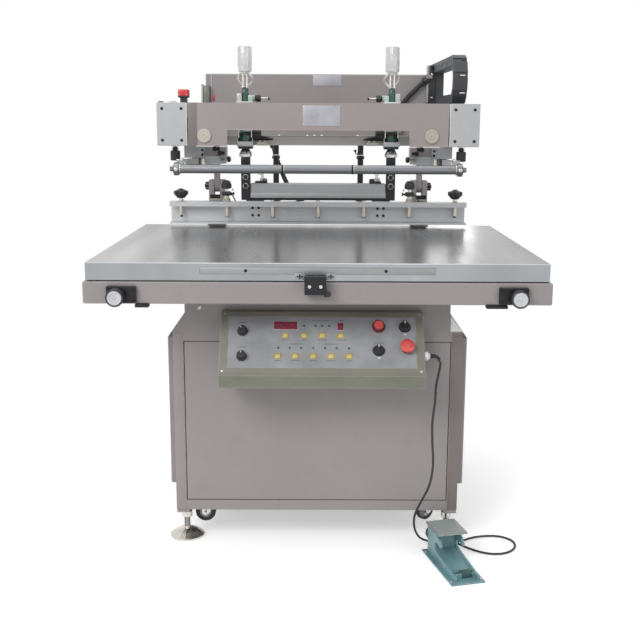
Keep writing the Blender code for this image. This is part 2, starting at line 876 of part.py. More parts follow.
def build_control_box():
    points = [
        (BOX_BACK, BOX_BOTTOM),
        (BOX_FRONT, BOX_BOTTOM),
        (BOX_FRONT, BOX_FACE_LOW),
        (BOX_TOP_FRONT, BOX_TOP),
        (BOX_BACK, BOX_TOP),
    ]
    middle = BOX_LEFT + BOX_W / 2
    housing = outline("control_box", points, BOX_W, along_x(middle), PANEL_GREY, 0.002)

    inset = box(
        "face_inset",
        (FACE_MARGIN_SIDE - BOX_W / 2, FACE_MARGIN_LOW, -FACE_INSET),
        (BOX_W / 2 - FACE_MARGIN_SIDE, FACE_LEN - FACE_MARGIN_TOP, FACE_INSET),
        cutter=True,
    )
    face = Matrix((
        (1, 0, 0, middle),
        (0, FACE_UP.y, FACE_OUT.y, BOX_FRONT),
        (0, FACE_UP.z, FACE_OUT.z, BOX_FACE_LOW),
        (0, 0, 0, 1),
    ))
    inset.matrix_world = face @ Matrix.Translation(inset.location)
    cut(housing, inset)

    def control(name, x, up, profile, material, handle=None):
        low = face_point(x, up, -STEM_DEPTH - BUTTON_TRAVEL - GAP)
        high = face_point(x, up, STEM_DEPTH)
        cut(housing, form_disc("control_hole", STEM_R + GAP, low, high, 16))
        base = face_point(x, up)
        place = standing_on(base, FACE_OUT)
        piece = turned(name, profile, place, material, 16)
        if handle:
            handle.matrix_world = place @ Matrix.Translation(handle.location)
            join(piece, handle)
        hang_on(name + "_axis", base, piece)

    def cap(radius, low, high):
        return [
            (0, high),
            (radius * 0.85, high),
            (radius, high - 0.002),
            (radius, low),
            (STEM_R, low),
            (STEM_R, -STEM_DEPTH),
            (0, -STEM_DEPTH),
        ]

    def grip():
        """The raised bar across a selector, turned with its knob."""
        return form_box(
            "selector_grip",
            (-GRIP_BAR / 2, -SELECTOR_R * 0.9, SELECTOR_LEN - GRIP_BAR * 1.5),
            (GRIP_BAR / 2, SELECTOR_R * 0.9, SELECTOR_LEN),
            0.001,
        )

    for word, up in zip(("upper", "lower"), POT_UP):
        control("speed_knob_" + word, BOX_LEFT + POT_INSET, up, cap(POT_R, CONTROL_FLOAT, POT_LEN), BLACK)
    low = BUTTON_TRAVEL + 2 * CONTROL_FLOAT
    control("push_button", BOX_RIGHT - BUTTON_INSET, BUTTON_UP, cap(BUTTON_R, low, low + BUTTON_LEN), RED)
    dial = cap(SELECTOR_R, CONTROL_FLOAT, SELECTOR_LEN - GRIP_BAR)
    control("selector_upper", BOX_RIGHT - SELECTOR_A_INSET, SELECTOR_A_UP, dial, BLACK, grip())
    control("selector_lower", BOX_RIGHT - SELECTOR_B_INSET, SELECTOR_B_UP, dial, BLACK, grip())
    low = STOP_BUTTON_LEN / 3
    stop = [
        (0, STOP_BUTTON_LEN),
        (STOP_BUTTON_R * 0.6, STOP_BUTTON_LEN * 0.94),
        (STOP_BUTTON_R * 0.95, STOP_BUTTON_LEN * 0.78),
        (STOP_BUTTON_R, STOP_BUTTON_LEN * 0.62),
        (STOP_BUTTON_R * 0.9, low * 1.3),
        (STEM_R, low),
        (STEM_R, -STEM_DEPTH),
        (0, -STEM_DEPTH),
    ]
    control("emergency_stop", BOX_RIGHT - STOP_BUTTON_INSET, STOP_BUTTON_UP, stop, RED)


def build_gland_and_cord():
    start = (BOX_RIGHT + GAP, CAB_FRONT - GLAND_FORWARD, GLAND_Z)
    profile = [
        (0, GLAND_LEN - GAP),
        (CORD_R + 0.002, GLAND_LEN - GAP),
        (GLAND_R * 0.8, GLAND_LEN - 0.005),
        (GLAND_R, GLAND_LEN - 0.008),
        (GLAND_R, 0),
        (0, 0),
    ]
    turned("cord_gland", profile, standing_on(start, (1, 0, 0)), CREAM, 16)

    tube("pedal_cord", CORD_ROUTE, CORD_STEP, CORD_R)


def tube(name, route, step, radius):
    """A cord or hose along a smooth curve through its route, as a closed mesh."""
    smooth_points = smooth_route(route, step)
    curve = bpy.data.curves.new(name, "CURVE")
    curve.dimensions = "3D"
    curve.bevel_depth = radius
    curve.bevel_resolution = 2
    curve.use_fill_caps = True
    spline = curve.splines.new("POLY")
    spline.points.add(len(smooth_points) - 1)
    for point, place in zip(spline.points, smooth_points):
        point.co = (*place, 1)
    drawn = bpy.data.objects.new(name + "_route", curve)
    PARTS.objects.link(drawn)
    return curve_to_mesh(drawn, name, RUBBER)


def smooth_route(points, step):
    """Points read at even steps from a smooth curve through the route's own points."""
    points = [Vector(point) for point in points]
    padded = [2 * points[0] - points[1], *points, 2 * points[-1] - points[-2]]
    fine = []
    for before, start, end, after in zip(padded, padded[1:], padded[2:], padded[3:]):
        for count in range(ROUTE_FINENESS):
            t = count / ROUTE_FINENESS
            fine.append(0.5 * (
                2 * start
                + (end - before) * t
                + (2 * before - 5 * start + 4 * end - after) * t ** 2
                + (3 * start - before - 3 * end + after) * t ** 3
            ))
    fine.append(points[-1])
    lengths = [0.0]
    for first, second in zip(fine, fine[1:]):
        lengths.append(lengths[-1] + (second - first).length)
    count = max(2, round(lengths[-1] / step))
    even = []
    index = 0
    for number in range(count + 1):
        target = lengths[-1] * number / count
        while index < len(fine) - 2 and lengths[index + 1] < target:
            index += 1
        part = (target - lengths[index]) / (lengths[index + 1] - lengths[index])
        even.append(fine[index].lerp(fine[index + 1], min(part, 1)))
    return even


def build_pedal():
    place = Matrix.Translation((PEDAL_X, PEDAL_Y, 0)) @ Matrix.Rotation(PEDAL_TURN, 4, "Z")
    front, rear = -PEDAL_LEN / 2, PEDAL_LEN / 2 - PEDAL_END
    base = box(
        "pedal_base",
        (-PEDAL_W / 2, front, 0),
        (PEDAL_W / 2, PEDAL_LEN / 2, PEDAL_FLANGE),
        TEAL,
    )
    base.matrix_world = place @ Matrix.Translation(base.location)

    low = PEDAL_FLANGE / 2
    deck = PEDAL_TOP - PEDAL_DECK_DROP
    cheek = [
        (rear, low),
        (rear, PEDAL_TOP - PEDAL_ROUND),
        (rear - PEDAL_ROUND, PEDAL_TOP),
        (rear - HOOK_ROOT, PEDAL_TOP),
        (rear - HOOK_TIP + 2 * PEDAL_ROUND, PEDAL_TOP - PEDAL_ROUND),
        (rear - HOOK_TIP, PEDAL_TOP - HOOK_DEEP),
        (rear - HOOK_TIP + PEDAL_ROUND / 2, PEDAL_TOP - HOOK_DEEP - PEDAL_ROUND),
        (rear - HOOK_MOUTH, PEDAL_TOP - HOOK_DEEP),
        (rear - HOOK_BACK, PEDAL_TOP - HOOK_DEEP - PEDAL_ROUND),
        (rear - HOOK_BACK, PEDAL_TOP - HOOK_LOW),
        (rear - HOOK_MOUTH, PEDAL_TOP - HOOK_LOW - PEDAL_ROUND),
        (front + PEDAL_END, PEDAL_NOSE),
        (front + PEDAL_END, low),
    ]
    inner = (PEDAL_BODY_W - PEDAL_CHEEK) / 2
    for side in (-inner, inner):
        join(base, outline("pedal_cheek", cheek, PEDAL_CHEEK, place @ along_x(side), cutter=True))
    body = [
        (rear - PEDAL_CHEEK, low),
        (rear - PEDAL_CHEEK, deck),
        (rear - HOOK_BACK + PEDAL_CHEEK, deck),
        (rear - HOOK_BACK + PEDAL_CHEEK, PEDAL_NOSE * 2),
        (0, PEDAL_NOSE * 1.5),
        (front / 2, PEDAL_NOSE),
        (front / 2, low),
    ]
    core = outline("pedal_core", body, PEDAL_BODY_W - PEDAL_CHEEK, place @ along_x(0), cutter=True)
    gland = form_disc(
        "pedal_gland",
        PEDAL_GLAND_R,
        place @ Vector((PEDAL_GLAND_X, rear - PEDAL_CHEEK, PEDAL_GLAND_Z)),
        place @ Vector((PEDAL_GLAND_X, rear + PEDAL_GLAND_LEN, PEDAL_GLAND_Z)),
        24,
    )
    join(base, core, gland)
    for number in range(PEDAL_RIBS):
        y = front + PEDAL_END + PEDAL_RIB_PITCH * (number + 1)
        rib = form_box(
            "pedal_rib",
            (-inner, y, low),
            (inner, y + PEDAL_RIB_W, PEDAL_NOSE),
        )
        rib.matrix_world = place @ Matrix.Translation(rib.location)
        join(base, rib)

    hinge_y = rear - TREADLE_HINGE
    hinge_z = PEDAL_TOP + TREADLE_BARREL_R + GAP
    treadle_low = PEDAL_TOP + TREADLE_RISE
    treadle_high = treadle_low + TREADLE_THICK
    treadle = box(
        "pedal_treadle",
        (-TREADLE_W / 2, rear - TREADLE_LEN, treadle_low),
        (TREADLE_W / 2, rear, treadle_high),
        ALUMINIUM,
        0.001,
    )
    treadle.matrix_world = place @ Matrix.Translation(treadle.location)
    half = TREADLE_W / 2 - TREADLE_INSET
    barrel = form_disc(
        "treadle_barrel",
        TREADLE_BARREL_R,
        place @ Vector((-half, hinge_y, hinge_z)),
        place @ Vector((half, hinge_y, hinge_z)),
        16,
    )
    join(treadle, barrel)
    pitch = (TREADLE_LEN - 2 * TREADLE_INSET) / TREADLE_RIBS
    for number in range(TREADLE_RIBS):
        y = rear - TREADLE_INSET - pitch * (number + 0.5)
        rib = form_box(
            "treadle_rib",
            (-half, y - pitch / 4, treadle_high - TREADLE_RIB_H),
            (half, y + pitch / 4, treadle_high + TREADLE_RIB_H),
        )
        rib.matrix_world = place @ Matrix.Translation(rib.location)
        join(treadle, rib)
    hang_on("treadle_axis", place @ Vector((0, hinge_y, hinge_z)), treadle)


def build_feet():
    profile = [
        (0, BASE_Z - GAP),
        (FOOT_ROD_R, BASE_Z - GAP),
        (FOOT_ROD_R, FOOT_NUT_Z + FOOT_NUT_H),
        (FOOT_NUT_R, FOOT_NUT_Z + FOOT_NUT_H),
        (FOOT_NUT_R, FOOT_NUT_Z),
        (FOOT_ROD_R, FOOT_NUT_Z),
        (FOOT_ROD_R, FOOT_DOME),
        (FOOT_R * 0.32, FOOT_DOME * 0.96),
        (FOOT_R * 0.62, FOOT_DOME * 0.74),
        (FOOT_R, FOOT_DISC),
        (FOOT_R, 0),
        (0, 0),
    ]
    x = CAB_HALF_W - FOOT_INSET_X
    for y, row in ((CAB_FRONT + FOOT_INSET_Y, "front"), (CAB_REAR - FOOT_INSET_Y, "rear")):
        for side, word in ((-x, "left"), (x, "right")):
            turned("foot_" + row + "_" + word, profile, Matrix.Translation((side, y, 0)), CHROME, 16)


def build_caster(name, x, y, heading):
    """A swivel fork and its wheel; the wheel trails along the heading."""
    place = Matrix.Translation((x, y, 0)) @ Matrix.Rotation(heading, 4, "Z")
    top = BASE_Z - GAP
    crown_low = WHEEL_Z + WHEEL_R + FORK_CROWN
    crown_high = crown_low + FORK_CROWN
    half = WHEEL_W / 2
    reach = half + FORK_GAP + FORK_CHEEK

    fork = turned(
        "caster_fork_" + name,
        [
            (0, top),
            (FORK_CAP_R, top),
            (FORK_CAP_R, crown_high + FORK_CROWN),
            (FORK_CAP_R * 0.8, crown_low + FORK_CROWN / 4),
            (0, crown_low + FORK_CROWN / 4),
        ],
        place,
        CHROME,
        16,
    )
    crown = form_box(
        "fork_crown",
        (-FORK_CAP_R * 0.7, -reach, crown_low),
        (CASTER_TRAIL + FORK_ARM, reach, crown_high),
    )
    crown.matrix_world = place @ Matrix.Translation(crown.location)
    join(fork, crown)
    cheek_top = crown_high - FORK_CROWN / 4
    cheek = [
        (-FORK_ARM, cheek_top),
        (CASTER_TRAIL + FORK_ARM, cheek_top),
        (CASTER_TRAIL + FORK_ARM, WHEEL_Z - AXLE_R),
        (CASTER_TRAIL, WHEEL_Z - FORK_ARM),
        (CASTER_TRAIL - FORK_ARM, WHEEL_Z - AXLE_R),
    ]
    for side in (-1, 1):
        middle = side * (reach - FORK_CHEEK / 2)
        join(fork, outline("fork_cheek", cheek, FORK_CHEEK, place @ along_y(middle), cutter=True))
    center = Vector((CASTER_TRAIL, 0, WHEEL_Z))
    axle_reach = reach + FORK_CHEEK / 2
    axle = form_disc("axle", AXLE_R, (0, -axle_reach, 0), (0, axle_reach, 0), 10)
    axle.matrix_world = place @ Matrix.Translation(center) @ Matrix.Rotation(math.pi / 2, 4, "X")
    join(fork, axle)
    hang_on("swivel_axis_" + name, (x, y, BASE_Z), fork)

    bore = AXLE_R + GAP
    shoulder = WHEEL_R - TREAD_ROUND
    tyre = [
        (bore, half),
        (WHEEL_R - WHEEL_RIM, half),
        (shoulder, half - TREAD_ROUND / 2),
        (WHEEL_R, half - 2 * TREAD_ROUND),
        (WHEEL_R, 2 * TREAD_ROUND - half),
        (shoulder, TREAD_ROUND / 2 - half),
        (WHEEL_R - WHEEL_RIM, -half),
        (bore, -half),
        (bore, half),
    ]
    wheel_place = place @ Matrix.Translation(center) @ Matrix.Rotation(math.pi / 2, 4, "X")
    wheel = turned("caster_wheel_" + name, tyre, wheel_place, RUBBER, 16)
    hang_on("wheel_axis_" + name, wheel_place.translation, wheel)


def build_casters():
    x = CAB_HALF_W - CASTER_INSET_X
    front, rear = CAB_FRONT + CASTER_INSET_Y, CAB_REAR - CASTER_INSET_Y
    build_caster("front_left", -x, front, math.pi)
    build_caster("front_right", x, front, math.radians(45))
    build_caster("rear_left", -x, rear, math.radians(-60))
    build_caster("rear_right", x, rear, math.radians(-110))


def build_hinge_posts():
    for side, word in ((-1, "left"), (1, "right")):
        inner, outer = side * POST_IN, side * POST_OUT
        post = box(
            "hinge_post_" + word,
            (min(inner, outer), PIVOT_Y - POST_DEPTH / 2, BED_TOP + GAP),
            (max(inner, outer), PIVOT_Y + POST_DEPTH / 2, POST_TOP),
            PAINT,
            0.002,
        )
        x = side * LINK_X
        slot = form_box(
            "link_slot",
            (x - SLOT_HALF_W, PIVOT_Y - POST_DEPTH, PIVOT_Z - SLOT_DEPTH),
            (x + SLOT_HALF_W, PIVOT_Y + POST_DEPTH, POST_TOP + POST_CAP),
        )
        pin_in, pin_out = side * (POST_IN + PIN_SINK), side * (POST_OUT - PIN_SINK)
        pin = form_disc("pivot_pin", PIN_R, (pin_in, PIVOT_Y, PIVOT_Z), (pin_out, PIVOT_Y, PIVOT_Z), 24)
        nut_out = side * (POST_OUT + PIVOT_NUT_H)
        nut = form_disc(
            "pivot_nut", PIVOT_NUT_R, (pin_out, PIVOT_Y, PIVOT_Z), (nut_out, PIVOT_Y, PIVOT_Z), 6
        )
        cut(post, slot)
        join(post, pin, nut)


def build_arms():
    """Two side arms; the carriage's shoes run in their inner grooves."""
    arms = []
    for side, word in ((-1, "left"), (1, "right")):
        inner, outer = side * (ARM_IN + ARM_INSET), side * (ARM_OUT - ARM_INSET)
        arm = box(
            "side_arm_" + word,
            (min(inner, outer), ARM_FRONT + END_PLATE, ARM_LOW + ARM_INSET),
            (max(inner, outer), ARM_REAR, ARM_HIGH - ARM_INSET),
            ALUMINIUM,
            0.002,
        )
        depth = side * (ARM_IN + GROOVE_DEPTH)
        mouth = side * (ARM_IN - GROOVE_DEPTH)
        groove = form_box(
            "shoe_groove",
            (min(mouth, depth), ARM_FRONT + END_PLATE + ARM_INSET, GROOVE_LOW),
            (max(mouth, depth), BEAM_FRONT, GROOVE_HIGH),
        )
        cut(arm, groove)
        edge_in, edge_out = side * ARM_IN, side * ARM_OUT
        plate = form_box(
            "end_plate",
            (min(edge_in, edge_out), ARM_FRONT, ARM_LOW),
            (max(edge_in, edge_out), ARM_FRONT + END_PLATE + ARM_INSET / 2, ARM_HIGH),
            0.001,
        )
        join(arm, plate)
        arms.append(arm)
    return arms


def build_rear_beam():
    half = ARM_IN + ARM_INSET - GAP
    beam = box(
        "rear_beam",
        (-half, BEAM_FRONT, ARM_LOW),
        (half, BEAM_FRONT + BEAM_DEPTH, ARM_LOW + BEAM_H),
        PAINT,
        0.003,
    )
    for x in (-LINK_X, LINK_X):
        root = ARM_LOW + LINK_R
        points = [(PIVOT_Y + LINK_R, root), (PIVOT_Y - LINK_R, root)]
        points += arc(PIVOT_Y, PIVOT_Z, LINK_R, math.pi, 2 * math.pi, 12)
        plate = outline("pivot_link", points, 2 * LINK_HALF_W, along_x(x), cutter=True)
        hole = form_disc(
            "pivot_hole",
            PIN_R + GAP,
            (x - SLOT_HALF_W, PIVOT_Y, PIVOT_Z),
            (x + SLOT_HALF_W, PIVOT_Y, PIVOT_Z),
            24,
        )
        join(beam, plate)
        cut(beam, hole)

    route = route_between(HEAD_HOSE_START, HEAD_HOSE_END, HEAD_HOSE_SHARES)
    join(beam, hose_gland(route[0], route[1]))
    route = route_between(CHAIN_HOSE_START, CHAIN_HOSE_END, CHAIN_HOSE_SHARES)
    for near, away in ((route[0], route[1]), (route[-1], route[-2])):
        seat = near + (near - away).normalized() * HOSE_GLAND_LEN
        block = form_box(
            "hose_seat",
            (seat.x - HOSE_SEAT_HALF, seat.y - HOSE_SEAT_HALF, seat.z - HOSE_SEAT_HALF / 2),
            (min(seat.x + HOSE_SEAT_HALF, half - GAP), BEAM_FRONT + GAP, seat.z + HOSE_SEAT_HALF / 2),
        )
        join(beam, hose_gland(near, away), block)
    return beam


def route_between(start, end, shares):
    """A hose's points: each share goes that part of the way from the start to the end, axis by axis."""
    start, end = Vector(start), Vector(end)
    return [Vector(a + (b - a) * part for a, b, part in zip(start, end, share)) for share in shares]


def hose_gland(near, away):
    """The gland that meets a hose's end face to face."""
    back = (near - away).normalized()
    seat = near + back * GAP
    return form_disc("hose_gland", HOSE_GLAND_R, seat, seat + back * HOSE_GLAND_LEN, 12)


def arc(center_a, center_b, radius, start, end, steps):
    """Points on an arc in an outline's plane."""
    points = []
    for number in range(steps + 1):
        angle = start + (end - start) * number / steps
        points.append((center_a + radius * math.cos(angle), center_b + radius * math.sin(angle)))
    return points


def build_clamp():
    """The channel that holds the screen's rear edge, its clamp screws and what carries it."""
    wall = CLAMP_WALL
    points = [
        (CLAMP_FRONT, CLAMP_LOW),
        (CLAMP_REAR, CLAMP_LOW),
        (CLAMP_REAR, CLAMP_HIGH),
        (CLAMP_FRONT, CLAMP_HIGH),
        (CLAMP_FRONT, CLAMP_HIGH - CLAMP_LIP),
        (CLAMP_FRONT + wall, CLAMP_HIGH - CLAMP_LIP),
        (CLAMP_FRONT + wall, CLAMP_HIGH - wall),
        (CLAMP_REAR - wall, CLAMP_HIGH - wall),
        (CLAMP_REAR - wall, CLAMP_LOW + wall),
        (CLAMP_FRONT, CLAMP_LOW + wall),
    ]
    channel = outline("screen_clamp", points, 2 * CLAMP_HALF_W, along_x(0), ALUMINIUM)
    y = CLAMP_FRONT + SCREW_BACK
    screw_low = CLAMP_LOW + SCREW_UP
    knobs = []
    for number in range(-3, 4):
        x = number * (CLAMP_HALF_W - SCREW_INSET) / 3
        if abs(number) < 3:
            top = CLAMP_HIGH + SCREW_HEAD
            join(channel, form_disc("clamp_screw", SCREW_R, (x, y, screw_low), (x, y, top), 8))
            continue
        low, high = CLAMP_HIGH - CLAMP_LIP, CLAMP_HIGH + CLAMP_LIP
        cut(channel, form_disc("screw_hole", SCREW_R + GAP, (x, y, low), (x, y, high), 16))
        word = "left" if number < 0 else "right"
        knobs.append((word, build_star_knob(word, x, y, screw_low), (x, y, CLAMP_HIGH)))

    back = CLAMP_REAR + GAP
    carrier = box(
        "screen_carrier",
        (-CARRIER_HALF_W, back, CARRIER_LOW),
        (CARRIER_HALF_W, back + CARRIER_DEPTH, CARRIER_LOW + CARRIER_H),
        BLACK,
        0.002,
    )
    for side in (-1, 1):
        lug_in, lug_out = side * (CARRIER_HALF_W - LUG_W), side * CARRIER_HALF_W
        lug = form_box(
            "carrier_lug",
            (min(lug_in, lug_out), back, CARRIER_LOW + LUG_RISE),
            (max(lug_in, lug_out), back + CARRIER_DEPTH, CARRIER_LOW + CARRIER_H + LUG_RISE),
        )
        x = side * HANGER_X
        hanger_y = BEAM_FRONT + HANGER_INSET
        low = (x, hanger_y, CARRIER_LOW + CARRIER_H / 2)
        rod = form_disc("hanger", HANGER_R, low, (x, hanger_y, ARM_LOW - GAP), 20)
        join(carrier, lug, rod)
    route = route_between(HEAD_HOSE_START, HEAD_HOSE_END, HEAD_HOSE_SHARES)
    join(carrier, hose_gland(route[-1], route[-2]))
    return channel, carrier, knobs


def build_star_knob(word, x, y, screw_low):
    low = CLAMP_HIGH + STAR_UP
    high = low + STAR_H
    profile = [
        (0, high),
        (STAR_R * 0.5, high),
        (STAR_R, high - STAR_H / 6),
        (STAR_R, low + STAR_H / 2),
        (STAR_R * 0.5, low),
        (SCREW_R, low),
        (SCREW_R, screw_low),
        (0, screw_low),
    ]
    knob = turned("star_knob_" + word, profile, Matrix.Translation((x, y, 0)), BLACK, 20)
    for number in range(STAR_LOBES):
        angle = 2 * math.pi * (number + 0.5) / STAR_LOBES
        reach = STAR_R * 1.12
        spot = Vector((x + reach * math.cos(angle), y + reach * math.sin(angle), 0))
        notch = form_disc(
            "star_notch",
            STAR_R * 0.34,
            spot + Vector((0, 0, low)),
            spot + Vector((0, 0, high + STAR_UP)),
            12,
        )
        cut(knob, notch)
    return knob


def build_safety_bar():
    half = ARM_IN + BAR_REACH
    bar = disc("safety_bar", BAR_R, (-half, BAR_Y, BAR_Z), (half, BAR_Y, BAR_Z), CHROME, 24)
    pieces = [bar]
    for side, word in ((-1, "left"), (1, "right")):
        for start, length, radius, sides in (
            (half - BAR_RING_W, BAR_RING_W, BAR_RING_R, 20),
            (half - BAR_R / 4, BAR_NUT_H, BAR_NUT_R, 6),
        ):
            near, far = side * start, side * (start + length)
            join(bar, form_disc("bar_end", radius, (near, BAR_Y, BAR_Z), (far, BAR_Y, BAR_Z), sides))
        front_y = BAR_Y + BAR_RING_R + GAP
        rear_y = front_y + STRUT_LEN
        outer, inner = side * (ARM_IN + STRUT_FRONT), side * (ARM_IN - STRUT_REAR)
        points = [
            (outer + STRUT_W / 2, front_y),
            (outer - STRUT_W / 2, front_y),
            (inner - STRUT_W / 2, rear_y),
            (inner + STRUT_W / 2, rear_y),
        ]
        strut_z = BAR_Z + STRUT_HALF_H
        strut = outline(
            "safety_strut_" + word,
            points,
            2 * STRUT_HALF_H,
            Matrix.Translation((0, 0, strut_z)),
            ALUMINIUM,
        )
        pad_front = rear_y - STRUT_PAD_LEN
        pad_z = ARM_LOW - STRUT_PAD_DROP
        pad_in, pad_out = inner - side * STRUT_PAD_SIDE, side * (ARM_IN + STRUT_PAD_REACH)
        pad = form_box(
            "strut_pad",
            (min(pad_in, pad_out), pad_front, strut_z + STRUT_HALF_H / 2),
            (max(pad_in, pad_out), rear_y + STRUT_PAD_DROP / 2, pad_z),
        )
        shim_in = pad_out - side * STRUT_SHIM
        shim = form_box(
            "strut_shim",
            (min(shim_in, pad_out), pad_front, pad_z - ARM_INSET),
            (max(shim_in, pad_out), rear_y + STRUT_PAD_DROP / 2, ARM_UNDER),
        )
        join(strut, pad, shim)
        pieces.append(strut)
        low = ARM_LOW - BUFFER_NECK - BUFFER_H
        shoulder = ARM_LOW - BUFFER_NECK
        edge = BUFFER_R * 0.15
        profile = [
            (0, ARM_UNDER),
            (BUFFER_R * 0.5, ARM_UNDER),
            (BUFFER_R * 0.5, shoulder),
            (BUFFER_R, shoulder - edge),
            (BUFFER_R, low + edge),
            (BUFFER_R - edge, low),
            (0, low),
        ]
        spot = Matrix.Translation((side * (ARM_IN + BUFFER_IN), ARM_FRONT + BUFFER_BACK, 0))
        pieces.append(turned("buffer_" + word, profile, spot, RUBBER, 16))
    return pieces


def build_chain():
    """The drag chain in its loop: links on one line from the beam, round the bend and along the arm."""
    radius = (CHAIN_H - CHAIN_THICK) / 2
    mid_x = ARM_IN + CHAIN_INSET + CHAIN_W / 2
    mid_y = ARM_FRONT + CHAIN_BACK + CHAIN_H / 2
    mid_z = ARM_OVER + CHAIN_H / 2
    high_end = BEAM_FRONT + CHAIN_OVERLAP
    upper_run, lower_run = high_end - mid_y, BEAM_FRONT - CHAIN_LOW_STOP - mid_y
    bend_run = math.pi * radius

    def on_line(run):
        """A place on the chain's middle line: X runs along the chain and Y to the inside of its loop."""
        if run < upper_run:
            spot, angle = (high_end - run, mid_z + radius), math.pi
        elif run < upper_run + bend_run:
            turn = (run - upper_run) / radius
            spot = (mid_y - radius * math.sin(turn), mid_z + radius * math.cos(turn))
            angle = math.pi + turn
        else:
            spot, angle = (mid_y + run - upper_run - bend_run, mid_z - radius), 0
        return Matrix.Translation((*spot, 0)) @ Matrix.Rotation(angle, 4, "Z")

    half_h = CHAIN_THICK / 2
    core = half_h - CHAIN_WAIST
    long_half = (CHAIN_SPACING - CHAIN_PLAY) / 2
    short_half = long_half - CHAIN_TAPER
    long_side, short_side, gaps = [], [], []
    run = long_half
    while run + long_half < upper_run + bend_run + lower_run:
        place = on_line(run)
        for half, edge, side in ((long_half, -1, long_side), (short_half, 1, short_side)):
            for x, y in ((-half, core), (-half, half_h), (half, half_h), (half, core)):
                side.append((place @ Vector((x, edge * y, 0))).xy)
        if abs(run + CHAIN_SPACING / 2 - upper_run - bend_run / 2) < CHAIN_OPEN:
            gaps.append(on_line(run + CHAIN_SPACING / 2))
        run += CHAIN_SPACING
    chain = ribbon("drag_chain", long_side, short_side, CHAIN_W, along_x(mid_x), BLACK)
    deep = half_h - CHAIN_WAIST / 2
    slot = [(-CHAIN_SLOT, -deep), (CHAIN_SLOT, -deep), (CHAIN_SLOT, deep), (-CHAIN_SLOT, deep)]
    for gap in gaps:
        aside = along_x(mid_x + CHAIN_SLOT_ASIDE)
        cut(chain, outline("chain_slot", slot, CHAIN_SLOT_W, aside @ gap, cutter=True))

    bracket = form_box(
        "chain_bracket",
        (mid_x - CHAIN_W / 2 + CHAIN_WEB, BEAM_FRONT + GAP, ARM_OVER),
        (mid_x + CHAIN_W / 2 - CHAIN_WEB, high_end - GAP, mid_z + radius - core),
    )
    return join(chain, bracket)


def ribbon(name, side_a, side_b, thickness, place, material):
    """A band between two lines of points in its own XY plane, given its thickness along Z."""
    bm = bmesh.new()
    low_a, low_b, high_a, high_b = (
        [bm.verts.new((x, y, z)) for x, y in side]
        for z in (-thickness / 2, thickness / 2)
        for side in (side_a, side_b)
    )
    for i in range(len(side_a) - 1):
        for first, second in ((low_a, low_b), (low_b, high_b), (high_b, high_a), (high_a, low_a)):
            bm.faces.new((first[i], first[i + 1], second[i + 1], second[i]))
    for i in (0, -1):
        bm.faces.new((low_a[i], low_b[i], high_b[i], high_a[i]))
    bmesh.ops.recalc_face_normals(bm, faces=bm.faces)
    mesh = bpy.data.meshes.new(name)
    bm.to_mesh(mesh)
    bm.free()
    obj = bpy.data.objects.new(name, mesh)
    obj.matrix_world = place
    return link(obj, material)


def build_head_hoses():
    """A hose from the beam's front face to the screen carrier, and one from the beam to the chain."""
    return [
        tube(name, route_between(start, end, shares), HOSE_STEP, HOSE_R)
        for name, start, end, shares in (
            ("head_hose", HEAD_HOSE_START, HEAD_HOSE_END, HEAD_HOSE_SHARES),
            ("chain_hose", CHAIN_HOSE_START, CHAIN_HOSE_END, CHAIN_HOSE_SHARES),
        )
    ]


def build_switch_box():
    foot = ARM_OVER + SWITCH_FOOT
    x = -(ARM_IN + SWITCH_IN)
    y = ARM_FRONT + SWITCH_BACK
    half_depth = SWITCH_DEPTH / 2
    body = box(
        "arm_switch",
        (x - SWITCH_HALF_W, y - half_depth, foot),
        (x + SWITCH_HALF_W, y + half_depth, ARM_OVER + SWITCH_H),
        RED,
        0.002,
    )
    stand = form_box(
        "switch_foot",
        (x - SWITCH_HALF_W * 0.6, y - half_depth * 0.8, ARM_OVER),
        (x + SWITCH_HALF_W * 0.6, y + half_depth * 0.8, ARM_OVER + SWITCH_H / 2),
    )
    return join(body, stand)


def build_carriage():
    cut_high = ARM_LOW + COVER_CUT
    ear_in = COVER_HALF_W - EAR_W
    points = [
        (-COVER_HALF_W, ARM_LOW),
        (-ear_in, ARM_LOW),
        (-ear_in, cut_high),
        (ear_in, cut_high),
        (ear_in, ARM_LOW),
        (COVER_HALF_W, ARM_LOW),
        (COVER_HALF_W, ARM_HIGH),
        (-COVER_HALF_W, ARM_HIGH),
    ]
    face_y = ARM_FRONT + COVER_THICK / 2
    cover = outline("carriage_cover", points, COVER_THICK, along_y(face_y), PAINT)
    top_flange = form_box(
        "cover_top",
        (-COVER_HALF_W, face_y, ARM_HIGH - COVER_THICK),
        (COVER_HALF_W, ARM_FRONT + COVER_DEPTH, ARM_HIGH),
    )
    join(cover, top_flange)

    rail = box(
        "carriage_rail",
        (-COVER_HALF_W, RAIL_FRONT, ARM_LOW),
        (COVER_HALF_W, RAIL_REAR, ARM_LOW + RAIL_H),
        ALUMINIUM,
    )
    for side in (-1, 1):
        a, b = side * (COVER_HALF_W - RAIL_END), side * COVER_HALF_W
        block = form_box(
            "rail_end",
            (min(a, b), ARM_FRONT + COVER_THICK + GAP, ARM_LOW + COVER_THICK / 2),
            (max(a, b), RAIL_REAR, GROOVE_HIGH + SHOE_INSET),
        )
        c, d = side * (COVER_HALF_W - SHOE_INSET), side * (ARM_IN + SHOE_REACH)
        shoe_rear = RAIL_REAR - SHOE_INSET
        shoe = form_box(
            "groove_shoe",
            (min(c, d), shoe_rear - SHOE_LEN, GROOVE_LOW + GAP),
            (max(c, d), shoe_rear, GROOVE_HIGH - GAP),
        )
        join(rail, block, shoe)
    cylinders = [build_cylinder(-1, "left"), build_cylinder(1, "right")]
    return [cover, rail, *cylinders]


